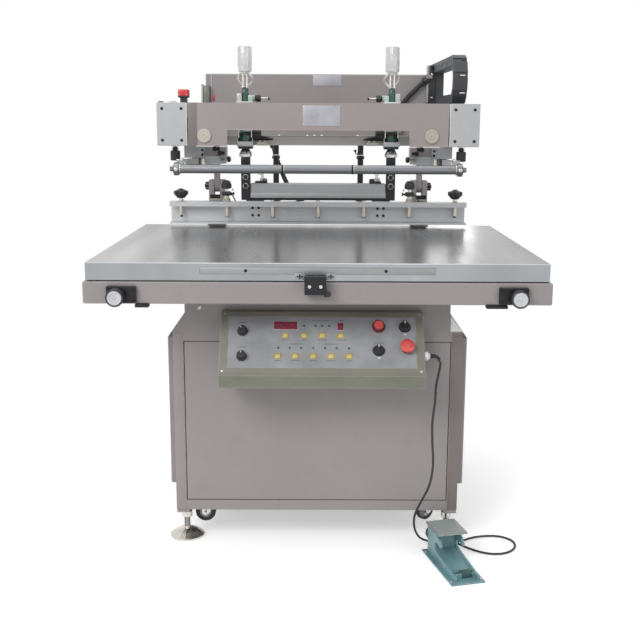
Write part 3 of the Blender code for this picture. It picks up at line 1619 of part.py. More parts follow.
def build_cylinder(side, word):
    """An air cylinder on its block, with the speed valve that points to the middle."""
    x = side * CYL_X
    fit_low = ARM_LOW + CYL_FIT_UP
    fit_high = fit_low + CYL_FIT_H
    cap_low = CYL_TOP - CYL_CAP_H
    block_top = CYL_BLOCK_LOW + CYL_BLOCK_H
    step = CYL_CAP_R - CYL_FIT_R
    profile = [
        (0, CYL_TOP),
        (CYL_CAP_R - 2 * step, CYL_TOP),
        (CYL_CAP_R, CYL_TOP - 2 * step),
        (CYL_CAP_R, cap_low),
        (CYL_BODY_R, cap_low - step),
        (CYL_BODY_R, fit_high),
        (CYL_FIT_R, fit_high - step),
        (CYL_FIT_R, fit_low),
        (CYL_BODY_R, fit_low - step),
        (CYL_BODY_R, block_top - step),
        (0, block_top - step),
    ]
    cylinder = turned(
        "air_cylinder_" + word, profile, Matrix.Translation((x, CYL_Y, 0)), CYLINDER_GREEN, 16
    )
    block = form_box(
        "cylinder_block",
        (x - CYL_BLOCK, CYL_Y - CYL_BLOCK, CYL_BLOCK_LOW),
        (x + CYL_BLOCK, RAIL_FRONT - GAP, block_top),
        0.002,
    )
    collar = form_box(
        "cylinder_collar",
        (x - CYL_BLOCK, CYL_Y - CYL_BLOCK, fit_low - step),
        (x + CYL_BLOCK, CYL_Y + CYL_BLOCK, fit_low + CYL_COLLAR_H),
        0.002,
    )
    join(cylinder, block, collar)
    valve_z = fit_low + VALVE_UP
    for start, end, radius in (
        (CYL_BLOCK - step, VALVE_BODY, VALVE_BODY_R),
        (VALVE_BODY - step, VALVE_BODY + VALVE_KNOB, VALVE_R),
        (VALVE_BODY + VALVE_KNOB - step, VALVE_REACH, VALVE_STEM_R),
    ):
        near, far = x - side * start, x - side * end
        join(cylinder, form_disc("valve", radius, (near, CYL_Y, valve_z), (far, CYL_Y, valve_z), 10))
    bore_top = ROD_TOP + CYL_CAP_R - CYL_BODY_R
    bore = form_disc(
        "rod_bore",
        ROD_R + GAP,
        (x, CYL_Y, CYL_BLOCK_LOW - CYL_BLOCK),
        (x, CYL_Y, bore_top),
        16,
    )
    return cut(cylinder, bore)


def build_squeegee():
    pieces = []
    grip_low = FLANGE_LOW - GRIP_H
    for side, word in ((-1, "left"), (1, "right")):
        x = side * CYL_X
        flange_high = FLANGE_LOW + FLANGE_H
        rod_profile = [
            (0, ROD_TOP),
            (ROD_R, ROD_TOP),
            (ROD_R, flange_high + CONE_H),
            (FLANGE_R * 0.5, flange_high + CONE_H),
            (FLANGE_R, flange_high),
            (FLANGE_R, FLANGE_LOW),
            (0, FLANGE_LOW),
        ]
        spot = Matrix.Translation((x, CYL_Y, 0))
        pieces.append(turned("squeegee_rod_" + word, rod_profile, spot, CHROME, 16))
        grip = box(
            "squeegee_bracket_" + word,
            (x - GRIP_HALF_W, CYL_Y - GRIP_DEPTH / 2, grip_low),
            (x + GRIP_HALF_W, CYL_Y + GRIP_DEPTH / 2, FLANGE_LOW - GAP),
            BLACK,
            0.001,
        )
        for up in (GRIP_BOLT_UP, GRIP_BOLT_UP + GRIP_BOLT_PITCH):
            z = grip_low + up
            face = CYL_Y - GRIP_DEPTH / 2
            low, high = (x, face + GRIP_BOLT_H, z), (x, face - GRIP_BOLT_H, z)
            join(grip, form_disc("grip_bolt", GRIP_BOLT_R, low, high, 12))
        pieces.append(grip)
    half = CYL_X - GRIP_HALF_W - GAP
    holder = box(
        "squeegee_holder",
        (-half, CYL_Y - HOLDER_DEPTH / 2, HOLDER_LOW),
        (half, CYL_Y + HOLDER_DEPTH / 2, HOLDER_LOW + HOLDER_H),
        ALUMINIUM,
        0.003,
    )
    slot_top = HOLDER_LOW + BLADE_SINK
    slot = form_box(
        "blade_slot",
        (-CYL_X, CYL_Y - BLADE_THICK / 2 - GAP, BLADE_LOW),
        (CYL_X, CYL_Y + BLADE_THICK / 2 + GAP, slot_top),
    )
    cut(holder, slot)
    blade = box(
        "squeegee_blade",
        (-half, CYL_Y - BLADE_THICK / 2, BLADE_LOW),
        (half, CYL_Y + BLADE_THICK / 2, slot_top - GAP),
        RUBBER,
    )
    return [*pieces, holder, blade]


def build_head():
    head = build_arms()
    head.append(build_rear_beam())
    channel, carrier, knobs = build_clamp()
    head += [channel, carrier]
    head += build_safety_bar()
    head.append(build_chain())
    head.append(build_switch_box())
    head += build_head_hoses()
    carriage = build_carriage()
    squeegee = build_squeegee()
    head_axis = hang_on("head_axis", (0, PIVOT_Y, PIVOT_Z), *head)
    carriage_axis = hang_on("carriage_slide", (0, CYL_Y, GROOVE_LOW), *carriage)
    squeegee_axis = hang_on("squeegee_slide", (0, CYL_Y, CYL_BLOCK_LOW), *squeegee)
    knob_axes = [hang_on("star_axis_" + word, place, knob) for word, knob, place in knobs]
    hang_under(head_axis, carriage_axis, *knob_axes)
    hang_under(carriage_axis, squeegee_axis)


def hang_under(parent, *empties):
    for empty in empties:
        empty.parent = parent
        empty.matrix_parent_inverse = parent.matrix_world.inverted()


build_cabinet()
build_bed()
build_table()
build_stop_block()
build_adjusters()
build_control_box()
build_gland_and_cord()
build_pedal()
build_feet()
build_casters()
build_hinge_posts()
build_head()
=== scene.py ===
# The looks of the flatbed screen printing machine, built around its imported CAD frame.
# +Z up, +X to the operator's right, +Y away from the operator. The frame, the cords, the
# materials and the lamps are in metres; the added pieces are written in millimetres.

import math
from itertools import product

import bmesh
import bpy
from mathutils import Matrix, Vector


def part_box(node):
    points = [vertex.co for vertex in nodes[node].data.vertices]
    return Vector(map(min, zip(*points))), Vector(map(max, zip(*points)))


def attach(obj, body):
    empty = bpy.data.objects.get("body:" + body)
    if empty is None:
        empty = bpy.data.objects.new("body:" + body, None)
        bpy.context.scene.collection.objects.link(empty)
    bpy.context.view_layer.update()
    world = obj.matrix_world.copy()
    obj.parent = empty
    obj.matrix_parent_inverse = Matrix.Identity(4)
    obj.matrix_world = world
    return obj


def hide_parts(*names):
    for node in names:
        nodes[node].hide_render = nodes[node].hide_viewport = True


MM = 0.001
SIDES = ((-1, "left"), (1, "right"))
CORNERS = ("front_left", "front_right", "rear_left", "rear_right")
FRONT, BACK, LEFT, RIGHT, UP = (0, -1, 0), (0, 1, 0), (-1, 0, 0), (1, 0, 0), (0, 0, 1)

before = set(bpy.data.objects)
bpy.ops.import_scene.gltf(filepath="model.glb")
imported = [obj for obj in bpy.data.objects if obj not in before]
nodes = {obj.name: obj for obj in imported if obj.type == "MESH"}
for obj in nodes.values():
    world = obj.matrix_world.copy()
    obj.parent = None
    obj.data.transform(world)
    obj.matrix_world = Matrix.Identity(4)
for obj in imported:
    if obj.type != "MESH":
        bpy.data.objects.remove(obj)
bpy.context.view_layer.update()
scene = bpy.context.scene


# The camera stands where the photographer stood

CAMERA_PLACE = (0, -3.03, 1.202)
CAMERA_TURNS = ((-0.144, "Z"), (78.45, "X"), (0.28, "Z"))
lens = bpy.data.cameras.new("camera")
lens.lens = 55.86
lens.sensor_width = 36
lens.clip_start, lens.clip_end = 0.1, 60
camera = bpy.data.objects.new("camera", lens)
camera.matrix_world = Matrix.Translation(CAMERA_PLACE)
for degrees, about in CAMERA_TURNS:
    camera.matrix_world = camera.matrix_world @ Matrix.Rotation(math.radians(degrees), 4, about)
scene.collection.objects.link(camera)
scene.camera = camera
scene.view_settings.view_transform = "Standard"


# Node materials


def srgb(red, green, blue):
    """A colour named by its three numbers from 0 to 255, as linear light."""
    shares = [value / 255 for value in (red, green, blue)]
    return (*[s / 12.92 if s <= 0.04045 else ((s + 0.055) / 1.055) ** 2.4 for s in shares], 1.0)


def toned(colour, factor):
    return (*[min(1.0, part * factor) for part in colour[:3]], 1.0)


class Nodes:
    """A node tree, built step by step."""

    def __init__(self, tree):
        self.tree = tree

    def plug(self, value, socket):
        if isinstance(value, bpy.types.NodeSocket):
            self.tree.links.new(value, socket)
        else:
            socket.default_value = value

    def add(self, kind, inputs=(), **settings):
        node = self.tree.nodes.new("ShaderNode" + kind)
        for key, value in settings.items():
            setattr(node, key, value)
        for socket, value in inputs:
            self.plug(value, node.inputs[socket])
        return node

    def scaled(self, fac, low, high, start=0.3, end=0.7):
        ends = [("From Min", start), ("From Max", end), ("To Min", low), ("To Max", high)]
        return self.add("MapRange", [("Value", fac), *ends]).outputs[0]

    def math(self, operation, first, second):
        return self.add("Math", [(0, first), (1, second)], operation=operation).outputs[0]

    def times(self, first, second):
        return self.math("MULTIPLY", first, second)

    def watched(self):
        """1 on the rays that the camera, a gloss or a clear part looks along, and 0 on the rest."""
        rays = self.add("LightPath").outputs
        seen = self.math("MAXIMUM", rays["Is Camera Ray"], rays["Is Glossy Ray"])
        return self.math("MAXIMUM", seen, rays["Is Transmission Ray"])


class Surface(Nodes):
    """A node material in the machine's own coordinates."""

    def __init__(self, name, metallic=0.0, **fixed):
        self.made = bpy.data.materials.new(name)
        self.made.use_nodes = True
        super().__init__(self.made.node_tree)
        self.shader = self.tree.nodes["Principled BSDF"].inputs
        self.shader["Metallic"].default_value = metallic
        for socket, value in fixed.items():
            self.shader[socket.replace("_", " ")].default_value = value
        self.place = self.add("TexCoord").outputs["Object"]
        self.height = None

    def noise(self, scale, detail=2.0, stretch=(1, 1, 1), rough=0.5, shift=0.0):
        spread = [("Scale", stretch), ("Location", (shift, shift, shift))]
        moved = self.add("Mapping", [("Vector", self.place), *spread]).outputs[0]
        look = [("Scale", scale), ("Detail", detail), ("Roughness", rough)]
        return self.add("TexNoise", [("Vector", moved), *look]).outputs["Fac"]

    def axis(self, name):
        """One of the machine's own coordinates."""
        return self.add("SeparateXYZ", [(0, self.place)]).outputs[name]

    def mix(self, fac, first, second):
        made = self.add("Mix", data_type="RGBA")
        for socket, value in ((0, fac), (6, first), (7, second)):
            self.plug(value, made.inputs[socket])
        return made.outputs[2]

    def tones(self, fac, tone, low, high):
        """A tone that wanders with a noise between two factors of itself."""
        return self.mix(self.scaled(fac, 0, 1), toned(tone, low), toned(tone, high))

    def edges(self, radius, gain):
        """How near a sharp edge the surface is, from 0 on the flat to 1 on the edge."""
        soft = self.add("Bevel", [("Radius", radius)], samples=4).outputs[0]
        sharp = self.add("NewGeometry").outputs["Normal"]
        along = self.add("VectorMath", [(0, soft), (1, sharp)], operation="DOT_PRODUCT")
        return self.scaled(along.outputs["Value"], 1.0, 0.0, 1 - gain, 1.0)

    def rubbed(self, base, colour, radius, gain, share):
        """The base with this colour where its edges are rubbed."""
        return self.mix(self.times(self.edges(radius, gain), share), base, colour)

    def finish(self, base, fac, low, high):
        """Sets the colour, and a roughness that follows a noise."""
        self.plug(base, self.shader["Base Color"])
        self.plug(self.scaled(fac, low, high), self.shader["Roughness"])

    def bump(self, height, strength, distance):
        made = self.add("Bump", [("Height", height), ("Strength", strength), ("Distance", distance)])
        if self.height is not None:
            self.plug(self.height, made.inputs["Normal"])
        self.height = made.outputs[0]
        self.plug(self.height, self.shader["Normal"])


def paint(name, tone, rough=0.5, dust=0.0):
    """Powder coat: slow cloudy tone, fine orange peel and lighter, rubbed edges."""
    made = Surface(name)
    speck = made.noise(700, 2)
    base = made.tones(made.noise(3.1, 4), tone, 0.93, 1.06)
    base = made.mix(made.scaled(speck, 0, 0.5), base, toned(tone, 0.86))
    stain = made.times(made.scaled(made.noise(11, 6, rough=0.7, shift=8), 0, 1, 0.55, 0.8), dust)
    base = made.mix(stain, base, toned(tone, 0.72))
    base = made.rubbed(base, toned(tone, 1.5), 0.0018, 0.16, made.scaled(made.noise(60, 3), 0.1, 0.8))
    made.finish(base, made.noise(9, 5, shift=3), rough - 0.08, rough + 0.1)
    made.bump(speck, 0.22, 0.0004)
    made.bump(made.noise(26, 2), 0.12, 0.0015)
    return made.made


def brushed(name, tone, rough, metallic, along=(1, 0, 0)):
    """Metal with a fine grain along one direction and rubbed edges."""
    made = Surface(name, metallic)
    grain = made.noise(900, 3, tuple(0.02 if part else 1.0 for part in along))
    base = made.tones(made.noise(2.3, 4, tuple(0.35 if part else 1.0 for part in along)), tone, 0.88, 1.1)
    base = made.mix(made.scaled(grain, 0, 0.55), base, toned(tone, 0.78))
    base = made.rubbed(base, toned(tone, 1.35), 0.0008, 0.2, 0.45)
    made.finish(base, made.noise(6, 4, shift=5), rough - 0.06, rough + 0.1)
    made.bump(grain, 0.35, 0.00025)
    return made.made


def plated(name, tone, rough=0.16):
    """Bright nickel or chrome plate, with faint stains."""
    made = Surface(name, 1.0)
    base = made.tones(made.noise(38, 4), tone, 0.85, 1.05)
    made.finish(base, made.noise(90, 3, shift=2), rough - 0.05, rough + 0.12)
    made.bump(made.noise(240, 2), 0.08, 0.0004)
    return made.made


def moulded(name, tone, rough=0.42, grain=1500, edge=1.9, **fixed):
    """Moulded plastic or black oxide: fine texture and rubbed, paler edges."""
    made = Surface(name, **fixed)
    base = made.tones(made.noise(17, 3), tone, 0.85, 1.15)
    base = made.rubbed(base, toned(tone, edge), 0.0008, 0.2, 0.5)
    made.finish(base, made.noise(60, 3, shift=4), rough - 0.08, rough + 0.1)
    made.bump(made.noise(grain, 2), 0.18, 0.0003)
    return made.made


def steel_table():
    """The table's stainless sheet: a top dulled by use and wiped along its depth, paler bare edges."""
    made = Surface("stainless_table", 1.0)
    tone = srgb(139, 139, 138)
    grain = made.noise(520, 3, (1, 0.015, 1))
    streak = made.noise(13, 3, (1, 0.04, 1), 0.5, 4)
    top = made.tones(made.noise(1.9, 3, (1, 0.35, 1)), tone, 0.9, 1.1)
    top = made.mix(made.scaled(streak, 0, 0.3), top, toned(tone, 0.74))
    wander = made.scaled(made.noise(4.5, 3, (1, 1, 0.5)), 0, 1)
    bare = made.mix(wander, srgb(158, 162, 165), srgb(182, 186, 189))
    base = made.mix(made.scaled(made.axis("Z"), 1, 0, 0.8325, 0.8338), top, bare)
    base = made.mix(made.scaled(grain, 0, 0.16), base, toned(tone, 0.7))
    base = made.rubbed(base, srgb(226, 227, 230), 0.0012, 0.2, 0.5)
    made.plug(base, made.shader["Base Color"])
    smear = made.scaled(made.noise(4, 4, (1, 0.25, 1), 0.55, 2), 0, 0.06)
    made.plug(made.math("ADD", smear, made.scaled(streak, 0.2, 0.26)), made.shader["Roughness"])
    made.bump(grain, 0.08, 0.0001)
    made.bump(made.noise(2.6, 2, (1, 0.5, 1), shift=6), 0.05, 0.0008)
    return made.made


def treadle_metal():
    """Cast aluminium, darker with a noise low between its ribs."""
    made = Surface("treadle_metal", 0.45)
    # Darker with a noise below the tops of the ribs
    low = made.scaled(made.axis("Z"), 0.75, 0, 0.0928, 0.0938)
    low_darkening = made.times(made.scaled(made.noise(120, 4), 0.6, 1), low)
    base = made.mix(low_darkening, srgb(184, 192, 190), srgb(110, 122, 120))
    base = made.rubbed(base, srgb(226, 228, 228), 0.0008, 0.25, 0.8)
    made.finish(base, made.noise(200, 3), 0.34, 0.5)
    made.bump(made.noise(420, 3), 0.1, 0.0003)
    return made.made


def cast_paint():
    """Hammered teal paint on a casting, chipped to a paler coat along its edges."""
    made = Surface("teal_paint", Coat_Weight=0.35, Coat_Roughness=0.25)
    tone = srgb(112, 152, 158)
    cell = made.add("TexVoronoi", [("Vector", made.place), ("Scale", 420)]).outputs["Distance"]
    base = made.tones(made.noise(14, 4), tone, 0.82, 1.14)
    base = made.mix(made.scaled(cell, 0.35, 0, 0, 0.5), base, toned(tone, 0.72))
    chips = made.scaled(made.noise(150, 4), 0, 1, 0.4, 0.6)
    made.finish(made.rubbed(base, srgb(178, 204, 206), 0.0022, 0.25, chips), made.noise(40, 3), 0.34, 0.5)
    made.bump(cell, 0.35, 0.0006)
    made.bump(made.noise(60, 3), 0.25, 0.001)
    return made.made


def box_paint():
    """The control box's paint: pale on the slope; the lower face is painted darker and greener, as painted
    shade below the slope.
    """
    made = Surface("control_box_paint")
    cloud = made.scaled(made.noise(7, 4), 0, 1)
    # Painted shade: below this height the lower face gets darker, greener tones
    low = made.scaled(made.axis("Z"), 1, 0, 0.527, 0.545)
    upper = made.mix(cloud, srgb(122, 122, 113), srgb(138, 138, 128))
    lower = made.mix(cloud, srgb(104, 109, 99), srgb(122, 125, 114))
    warm = made.scaled(made.noise(12, 3, (1, 1, 3), shift=9), 0, 0.45)
    base = made.mix(warm, made.mix(low, upper, lower), srgb(130, 127, 108))
    worn = made.scaled(made.noise(45, 3), 0.3, 0.95)
    made.finish(made.rubbed(base, srgb(212, 210, 198), 0.0022, 0.14, worn), made.noise(22, 3), 0.36, 0.5)
    made.bump(made.noise(800, 2), 0.2, 0.0004)
    made.bump(made.noise(20, 2), 0.14, 0.0014)
    return made.made


def switch_box():
    """Red moulded box on a black foot."""
    made = Surface("switch_box")
    low = made.scaled(made.axis("Z"), 1, 0, 1.2655, 1.266)
    cloud = made.scaled(made.noise(40, 3), 0, 1)
    red = made.mix(cloud, srgb(196, 56, 54), srgb(226, 74, 70))
    red = made.rubbed(red, srgb(240, 130, 124), 0.0008, 0.2, 0.5)
    black = made.mix(cloud, srgb(30, 30, 33), srgb(50, 50, 54))
    made.finish(made.mix(low, red, black), made.noise(60, 3, shift=4), 0.3, 0.46)
    made.bump(made.noise(1400, 2), 0.18, 0.0003)
    return made.made


def frosted():
    """Frosted clear plastic, ribbed by its mesh, that lets some light through."""
    made = Surface("frosted_cap", Transmission_Weight=0.35, Coat_Weight=0.5, Coat_Roughness=0.15)
    cloud = made.scaled(made.noise(30, 3, (1, 1, 0.3)), 0, 1)
    base = made.mix(cloud, srgb(206, 208, 210), srgb(238, 238, 238))
    made.finish(base, made.noise(60, 3, (1, 1, 0.2)), 0.22, 0.42)
    made.bump(made.noise(300, 2, (1, 1, 0.1)), 0.2, 0.0004)
    return made.made


def indicator(name, tone, glow=0.0):
    """A smooth lens whose tone wanders with a fine noise."""
    made = Surface(name, Coat_Weight=0.8, Coat_Roughness=0.08, Emission_Color=tone, Emission_Strength=glow)
    made.finish(made.tones(made.noise(90, 2), tone, 0.8, 1.2), made.noise(140, 2), 0.16, 0.3)
    made.bump(made.noise(900, 2), 0.05, 0.0002)
    return made.made


def rolling(name, centre):
    """A caster's wheel: black tyre, grey hub and a dark groove between them."""
    made = Surface(name)
    across = made.math("SUBTRACT", made.axis("X"), centre.x)
    over = made.math("SUBTRACT", made.axis("Z"), centre.z)
    squares = made.math("ADD", made.times(across, across), made.times(over, over))
    radius = made.math("POWER", squares, 0.5)
    fine = made.noise(1100, 3)
    tyre = made.mix(made.scaled(fine, 0, 1), srgb(28, 28, 30), srgb(46, 46, 48))
    hub = made.mix(made.scaled(made.noise(130, 3), 0, 1), srgb(116, 119, 122), srgb(148, 151, 153))
    groove = made.mix(made.scaled(radius, 0, 1, 0.0166, 0.0172), hub, srgb(14, 14, 15))
    made.plug(made.mix(made.scaled(radius, 0, 1, 0.019, 0.0194), groove, tyre), made.shader["Base Color"])
    made.plug(made.scaled(radius, 0.36, 0.62, 0.0166, 0.0194), made.shader["Roughness"])
    made.bump(fine, 0.2, 0.0004)
    return made.made


PAINT = paint("warm_grey_paint", srgb(156, 149, 150), dust=0.35)
COVER_PAINT = paint("warm_grey_cover", srgb(160, 152, 151), 0.46, dust=0.2)
# Painted shade: a darker copy of the warm grey paint, for faces that lie in shadow
SHADE_PAINT = paint("painted_shade_warm_grey", srgb(128, 119, 116))
# Painted light: a paler grey for lit edges and to lift spots that lie in shade
PAINTED_LIGHT_GREY = paint("painted_light_pale_grey", srgb(214, 214, 211))
# Painted highlight: a near-white paint for a highlight on the cabinet
PAINTED_HIGHLIGHT = paint("painted_highlight_white", srgb(246, 246, 244))
# Painted shade: a dark teal for a shaded opening in the pedal
PAINTED_SHADE_TEAL = paint("painted_shade_teal_paint", srgb(56, 86, 88))
ALUMINIUM = brushed("anodised_aluminium", srgb(160, 162, 163), 0.42, 0.6)
CLAMP_ALUMINIUM = brushed("clamp_aluminium", srgb(206, 208, 211), 0.4, 0.55)
RAIL_ALUMINIUM = brushed("rail_aluminium", srgb(178, 176, 174), 0.4, 0.55)
ALUMINIUM_Z = brushed("anodised_upright", srgb(182, 184, 186), 0.44, 0.35, (0, 0, 1))
DULL_STEEL = brushed("satin_steel", srgb(136, 138, 141), 0.34, 0.85)
CHROME = plated("chrome", srgb(205, 205, 208))
NICKEL = plated("nickel", srgb(214, 211, 202), 0.22)
PALE_PLATE = plated("pale_plate", srgb(214, 206, 192), 0.34)
GREY_GREEN = moulded("grey_box", srgb(122, 128, 120), 0.4, 1200, 1.3)
BLACK = moulded("black_plastic", srgb(38, 38, 41))
CHAIN_BLACK = moulded("chain_plastic", srgb(58, 60, 64), 0.5, 1100, 1.7)
BLACK_STEEL = moulded("black_oxide", srgb(44, 44, 47), 0.38, 900, metallic=0.6)
RUBBER = moulded("black_rubber", srgb(32, 32, 33), 0.62, 2200)
CORD_SKIN = moulded("cord_sheath", srgb(42, 42, 44), 0.5, 2600)
RED = moulded("red_plastic", srgb(216, 66, 62), 0.36, 1500, 1.3)
STOP_RED = moulded("stop_red", srgb(220, 82, 78), 0.3, 1600, 1.25, Coat_Weight=0.4)
BUTTON_RED = moulded("button_red", srgb(226, 92, 90), 0.32, 1600, 1.2, Coat_Weight=0.4)
DARK_RED = moulded("button_rim", srgb(128, 46, 52), 0.36, 1500, 1.5)
CREAM = moulded("cream_plastic", srgb(186, 182, 170), 0.42, 900, 1.15)
WHITE = moulded("white_plastic", srgb(228, 228, 226), 0.4, 1200, 1.05)
MINT = moulded("mint_plastic", srgb(176, 200, 188), 0.3, 1200, 1.2, Coat_Weight=0.5)
GREEN = moulded("green_fitting", srgb(34, 74, 64), 0.3, 1000, 1.8, Coat_Weight=0.4)
KNOB_GREY = moulded("knob_cap", srgb(198, 200, 204), 0.4, 900, 1.12)
LABEL = moulded("bare_label", srgb(180, 180, 187), 0.34, 1800, 1.1)
PANEL = moulded("panel_film", srgb(152, 154, 157), 0.46, 1300, 1.15)
MARK = moulded("panel_mark", srgb(104, 106, 112), 0.5, 1300, 1.1)
KEY = moulded("key_yellow", srgb(206, 194, 128), 0.4, 1500, 1.2)
KEY_RING = moulded("key_ring", srgb(178, 154, 62), 0.42, 1500, 1.2)
LED = indicator("led_lens", srgb(58, 62, 64))
DISPLAY = indicator("display_lens", srgb(122, 44, 60), 0.12)
# Painted shade: a near-black for recesses, holes and gaps that lie in shade
PAINTED_SHADE_DARK = moulded("painted_shade_recess", srgb(22, 23, 24), 0.7, 800, 1.3)
CLEAR = frosted()

for material, *stems in (
    (PAINT, "cabinet", "front_panel", "bed_frame", "rear_beam", "hinge_post"),
    (COVER_PAINT, "carriage_cover"),
    (steel_table(), "printing_table"),
    (CLAMP_ALUMINIUM, "screen_clamp"),
    (ALUMINIUM, "squeegee_holder"),
    (RAIL_ALUMINIUM, "carriage_rail"),
    (ALUMINIUM_Z, "side_arm", "safety_strut"),
    (DULL_STEEL, "safety_bar"),
    (CHROME, "squeegee_rod"),
    (NICKEL, "foot", "caster_fork"),
    (RUBBER, "buffer", "squeegee_blade"),
    (BLACK, "adjuster_knob", "speed_knob", "selector", "star_knob"),
    (CHAIN_BLACK, "drag_chain"),
    (BLACK_STEEL, "stop_block", "adjuster_bracket", "screen_carrier", "squeegee_bracket"),
    (STOP_RED, "emergency_stop"),
    (switch_box(), "arm_switch"),
    (DARK_RED, "push_button"),
    (WHITE, "cord_gland"),
    (CORD_SKIN, "pedal_cord"),
    (cast_paint(), "pedal_base"),
    (treadle_metal(), "pedal_treadle"),
    (box_paint(), "control_box"),
):
    for name in nodes:
        if name.startswith(tuple(stems)):
            nodes[name].data.materials.clear()
            nodes[name].data.materials.append(material)


# Pieces are put together from small closed forms, in millimetres


def at(x, y, z, normal=UP):
    """A place whose Z axis points along the normal, with Y as near to the machine's up as it can be."""
    out = Vector(normal).normalized()
    right = Vector(BACK if normal[2] else UP).cross(out).normalized()
    return Matrix.Translation((x, y, z)) @ Matrix((right, out.cross(right), out)).transposed().to_4x4()


def turned_by(degrees, about="Z"):
    return Matrix.Rotation(math.radians(degrees), 4, about)


def frames(points):
    """A place at each point of a line, turned as little as it can be from one to the next."""
    places = []
    side = None
    for index, point in enumerate(points):
        ahead = (points[min(index + 1, len(points) - 1)] - points[max(index - 1, 0)]).normalized()
        if side is None:
            side = ahead.orthogonal().normalized()
        side = (side - ahead * side.dot(ahead)).normalized()
        places.append((point, side, ahead.cross(side)))
    return places


def many(value):
    return value if isinstance(value, tuple) else (value,)


class Form:
    """One piece, put together from small closed forms; each form takes the current material."""

    def __init__(self, material=None):
        self.bm = bmesh.new()
        self.materials = []
        self.slot = 0
        if material:
            self.use(material)

    def use(self, material):
        if material not in self.materials:
            self.materials.append(material)
        self.slot = self.materials.index(material)
        return self

    def take(self, shape, place):
        shape.transform(place)
        bmesh.ops.recalc_face_normals(shape, faces=shape.faces)
        for face in shape.faces:
            face.material_index = self.slot
            face.smooth = True
        mesh = bpy.data.meshes.new("step")
        shape.to_mesh(mesh)
        shape.free()
        self.bm.from_mesh(mesh)
        bpy.data.meshes.remove(mesh)
        return self

    def rounded(self, shape, edge, place):
        if edge:
            bmesh.ops.bevel(shape, geom=shape.edges, offset=edge, segments=2, profile=0.5, affect="EDGES")
        return self.take(shape, place)

    def box(self, one, other, edge=0.5, place=Matrix()):
        """A box between two corners, in whichever order they come."""
        low, high = Vector(map(min, one, other)), Vector(map(max, one, other))
        shape = bmesh.new()
        bmesh.ops.create_cube(shape, size=1.0)
        bmesh.ops.scale(shape, vec=high - low, verts=shape.verts)
        bmesh.ops.translate(shape, vec=(low + high) / 2, verts=shape.verts)
        return self.rounded(shape, edge, place)

    def prism(self, points, low, high, edge=0.0, place=Matrix()):
        """A flat outline in the place's own XY plane, from one height to another."""
        shape = bmesh.new()
        bottom = shape.faces.new([shape.verts.new((x, y, low)) for x, y in points])
        made = bmesh.ops.extrude_face_region(shape, geom=[bottom])["geom"]
        verts = [item for item in made if isinstance(item, bmesh.types.BMVert)]
        bmesh.ops.translate(shape, vec=(0, 0, high - low), verts=verts)
        return self.rounded(shape, edge, place)

    def rings(self, shape, rings):
        """Joins rings of points, any of which may be a single point, with faces."""
        sides = max(len(ring) for ring in rings)
        for first, second in zip(rings, rings[1:]):
            for k in range(sides if len(first) + len(second) > 2 else 0):
                corners = []
                for ring, steps in ((first, (0, 1)), (second, (1, 0))):
                    corners += ring if len(ring) == 1 else [ring[(k + step) % sides] for step in steps]
                shape.faces.new(corners)

    def turned(self, profile, place, sides=32, waves=0, depth=0.0):
        """A turned form from (radius, height) pairs; waves flute or lobe it all round."""
        shape = bmesh.new()
        rings = []
        for radius, height in profile:
            ring = []
            for number in range(sides if radius else 1):
                angle = 2 * math.pi * number / sides
                reach = radius * (1 + depth * math.cos(waves * angle))
                ring.append(shape.verts.new((reach * math.cos(angle), reach * math.sin(angle), height)))
            rings.append(ring)
        self.rings(shape, rings)
        return self.take(shape, place)

    def disc(self, radius, thick, place, sides=28, edge=0.6):
        """A round plate with a rounded rim, standing on its place."""
        edge = min(edge, thick / 2, radius / 3)
        rim = [(radius, thick - edge), (radius - edge * 0.3, thick - edge * 0.3), (radius - edge, thick)]
        return self.turned([(0, 0), (radius, 0), *rim, (0, thick)], place, sides)

    def ring(self, inner, outer, thick, place, sides=32, edge=0.5):
        rim = [(outer, thick - edge), (outer - edge, thick), (inner + edge, thick), (inner, thick - edge)]
        return self.turned([(inner, 0), (outer, 0), *rim, (inner, 0)], place, sides)

    def hexagon(self, radius, thick, place):
        angles = [math.pi * k / 3 for k in range(6)]
        points = [(radius * math.cos(angle), radius * math.sin(angle)) for angle in angles]
        return self.prism(points, 0, thick, 0.4, place)

    def socket_bolt(self, radius, thick, place):
        """A cap screw's head, with its sunk hexagon."""
        head = [(radius, 0), (radius, thick * 0.8), (radius * 0.86, thick)]
        hole = [(radius * 0.5, thick), (radius * 0.45, thick * 0.3), (0, thick * 0.25)]
        return self.turned(head + hole, place, 18)

    def hex_bolt(self, radius, thick, place):
        self.disc(radius * 1.25, thick * 0.25, place, 20, 0.3)
        return self.hexagon(radius, thick * 0.9, place @ at(0, 0, thick * 0.2))

    def bolts(self, radius, thick, xs, ys, zs, way):
        """Cap screws at every mix of the coordinates, each of them one number or several."""
        for x, y, z in product(many(xs), many(ys), many(zs)):
            self.socket_bolt(radius, thick, at(x, y, z, way))
        return self

    def rivets(self, radius, thick, xs, ys, zs, way=FRONT, sides=12, edge=0.2):
        for x, y, z in product(many(xs), many(ys), many(zs)):
            self.disc(radius, thick, at(x, y, z, way), sides, edge)
        return self

    def sweep(self, points, radius, sides=12):
        """A tube along points, closed at both ends; its radius may follow the run, angle and index."""
        points = [Vector(point) for point in points]
        shape = bmesh.new()
        rings = []
        run = 0.0
        for index, (point, side, up) in enumerate(frames(points)):
            run += (point - points[max(index - 1, 0)]).length
            ring = []
            for number in range(sides):
                angle = 2 * math.pi * number / sides
                reach = radius(run, angle, index) if callable(radius) else radius
                out = side * math.cos(angle) + up * math.sin(angle)
                ring.append(shape.verts.new(point + out * reach))
            rings.append(ring)
        self.rings(shape, rings)
        shape.faces.new(rings[0])
        shape.faces.new(rings[-1])
        return self.take(shape, Matrix())

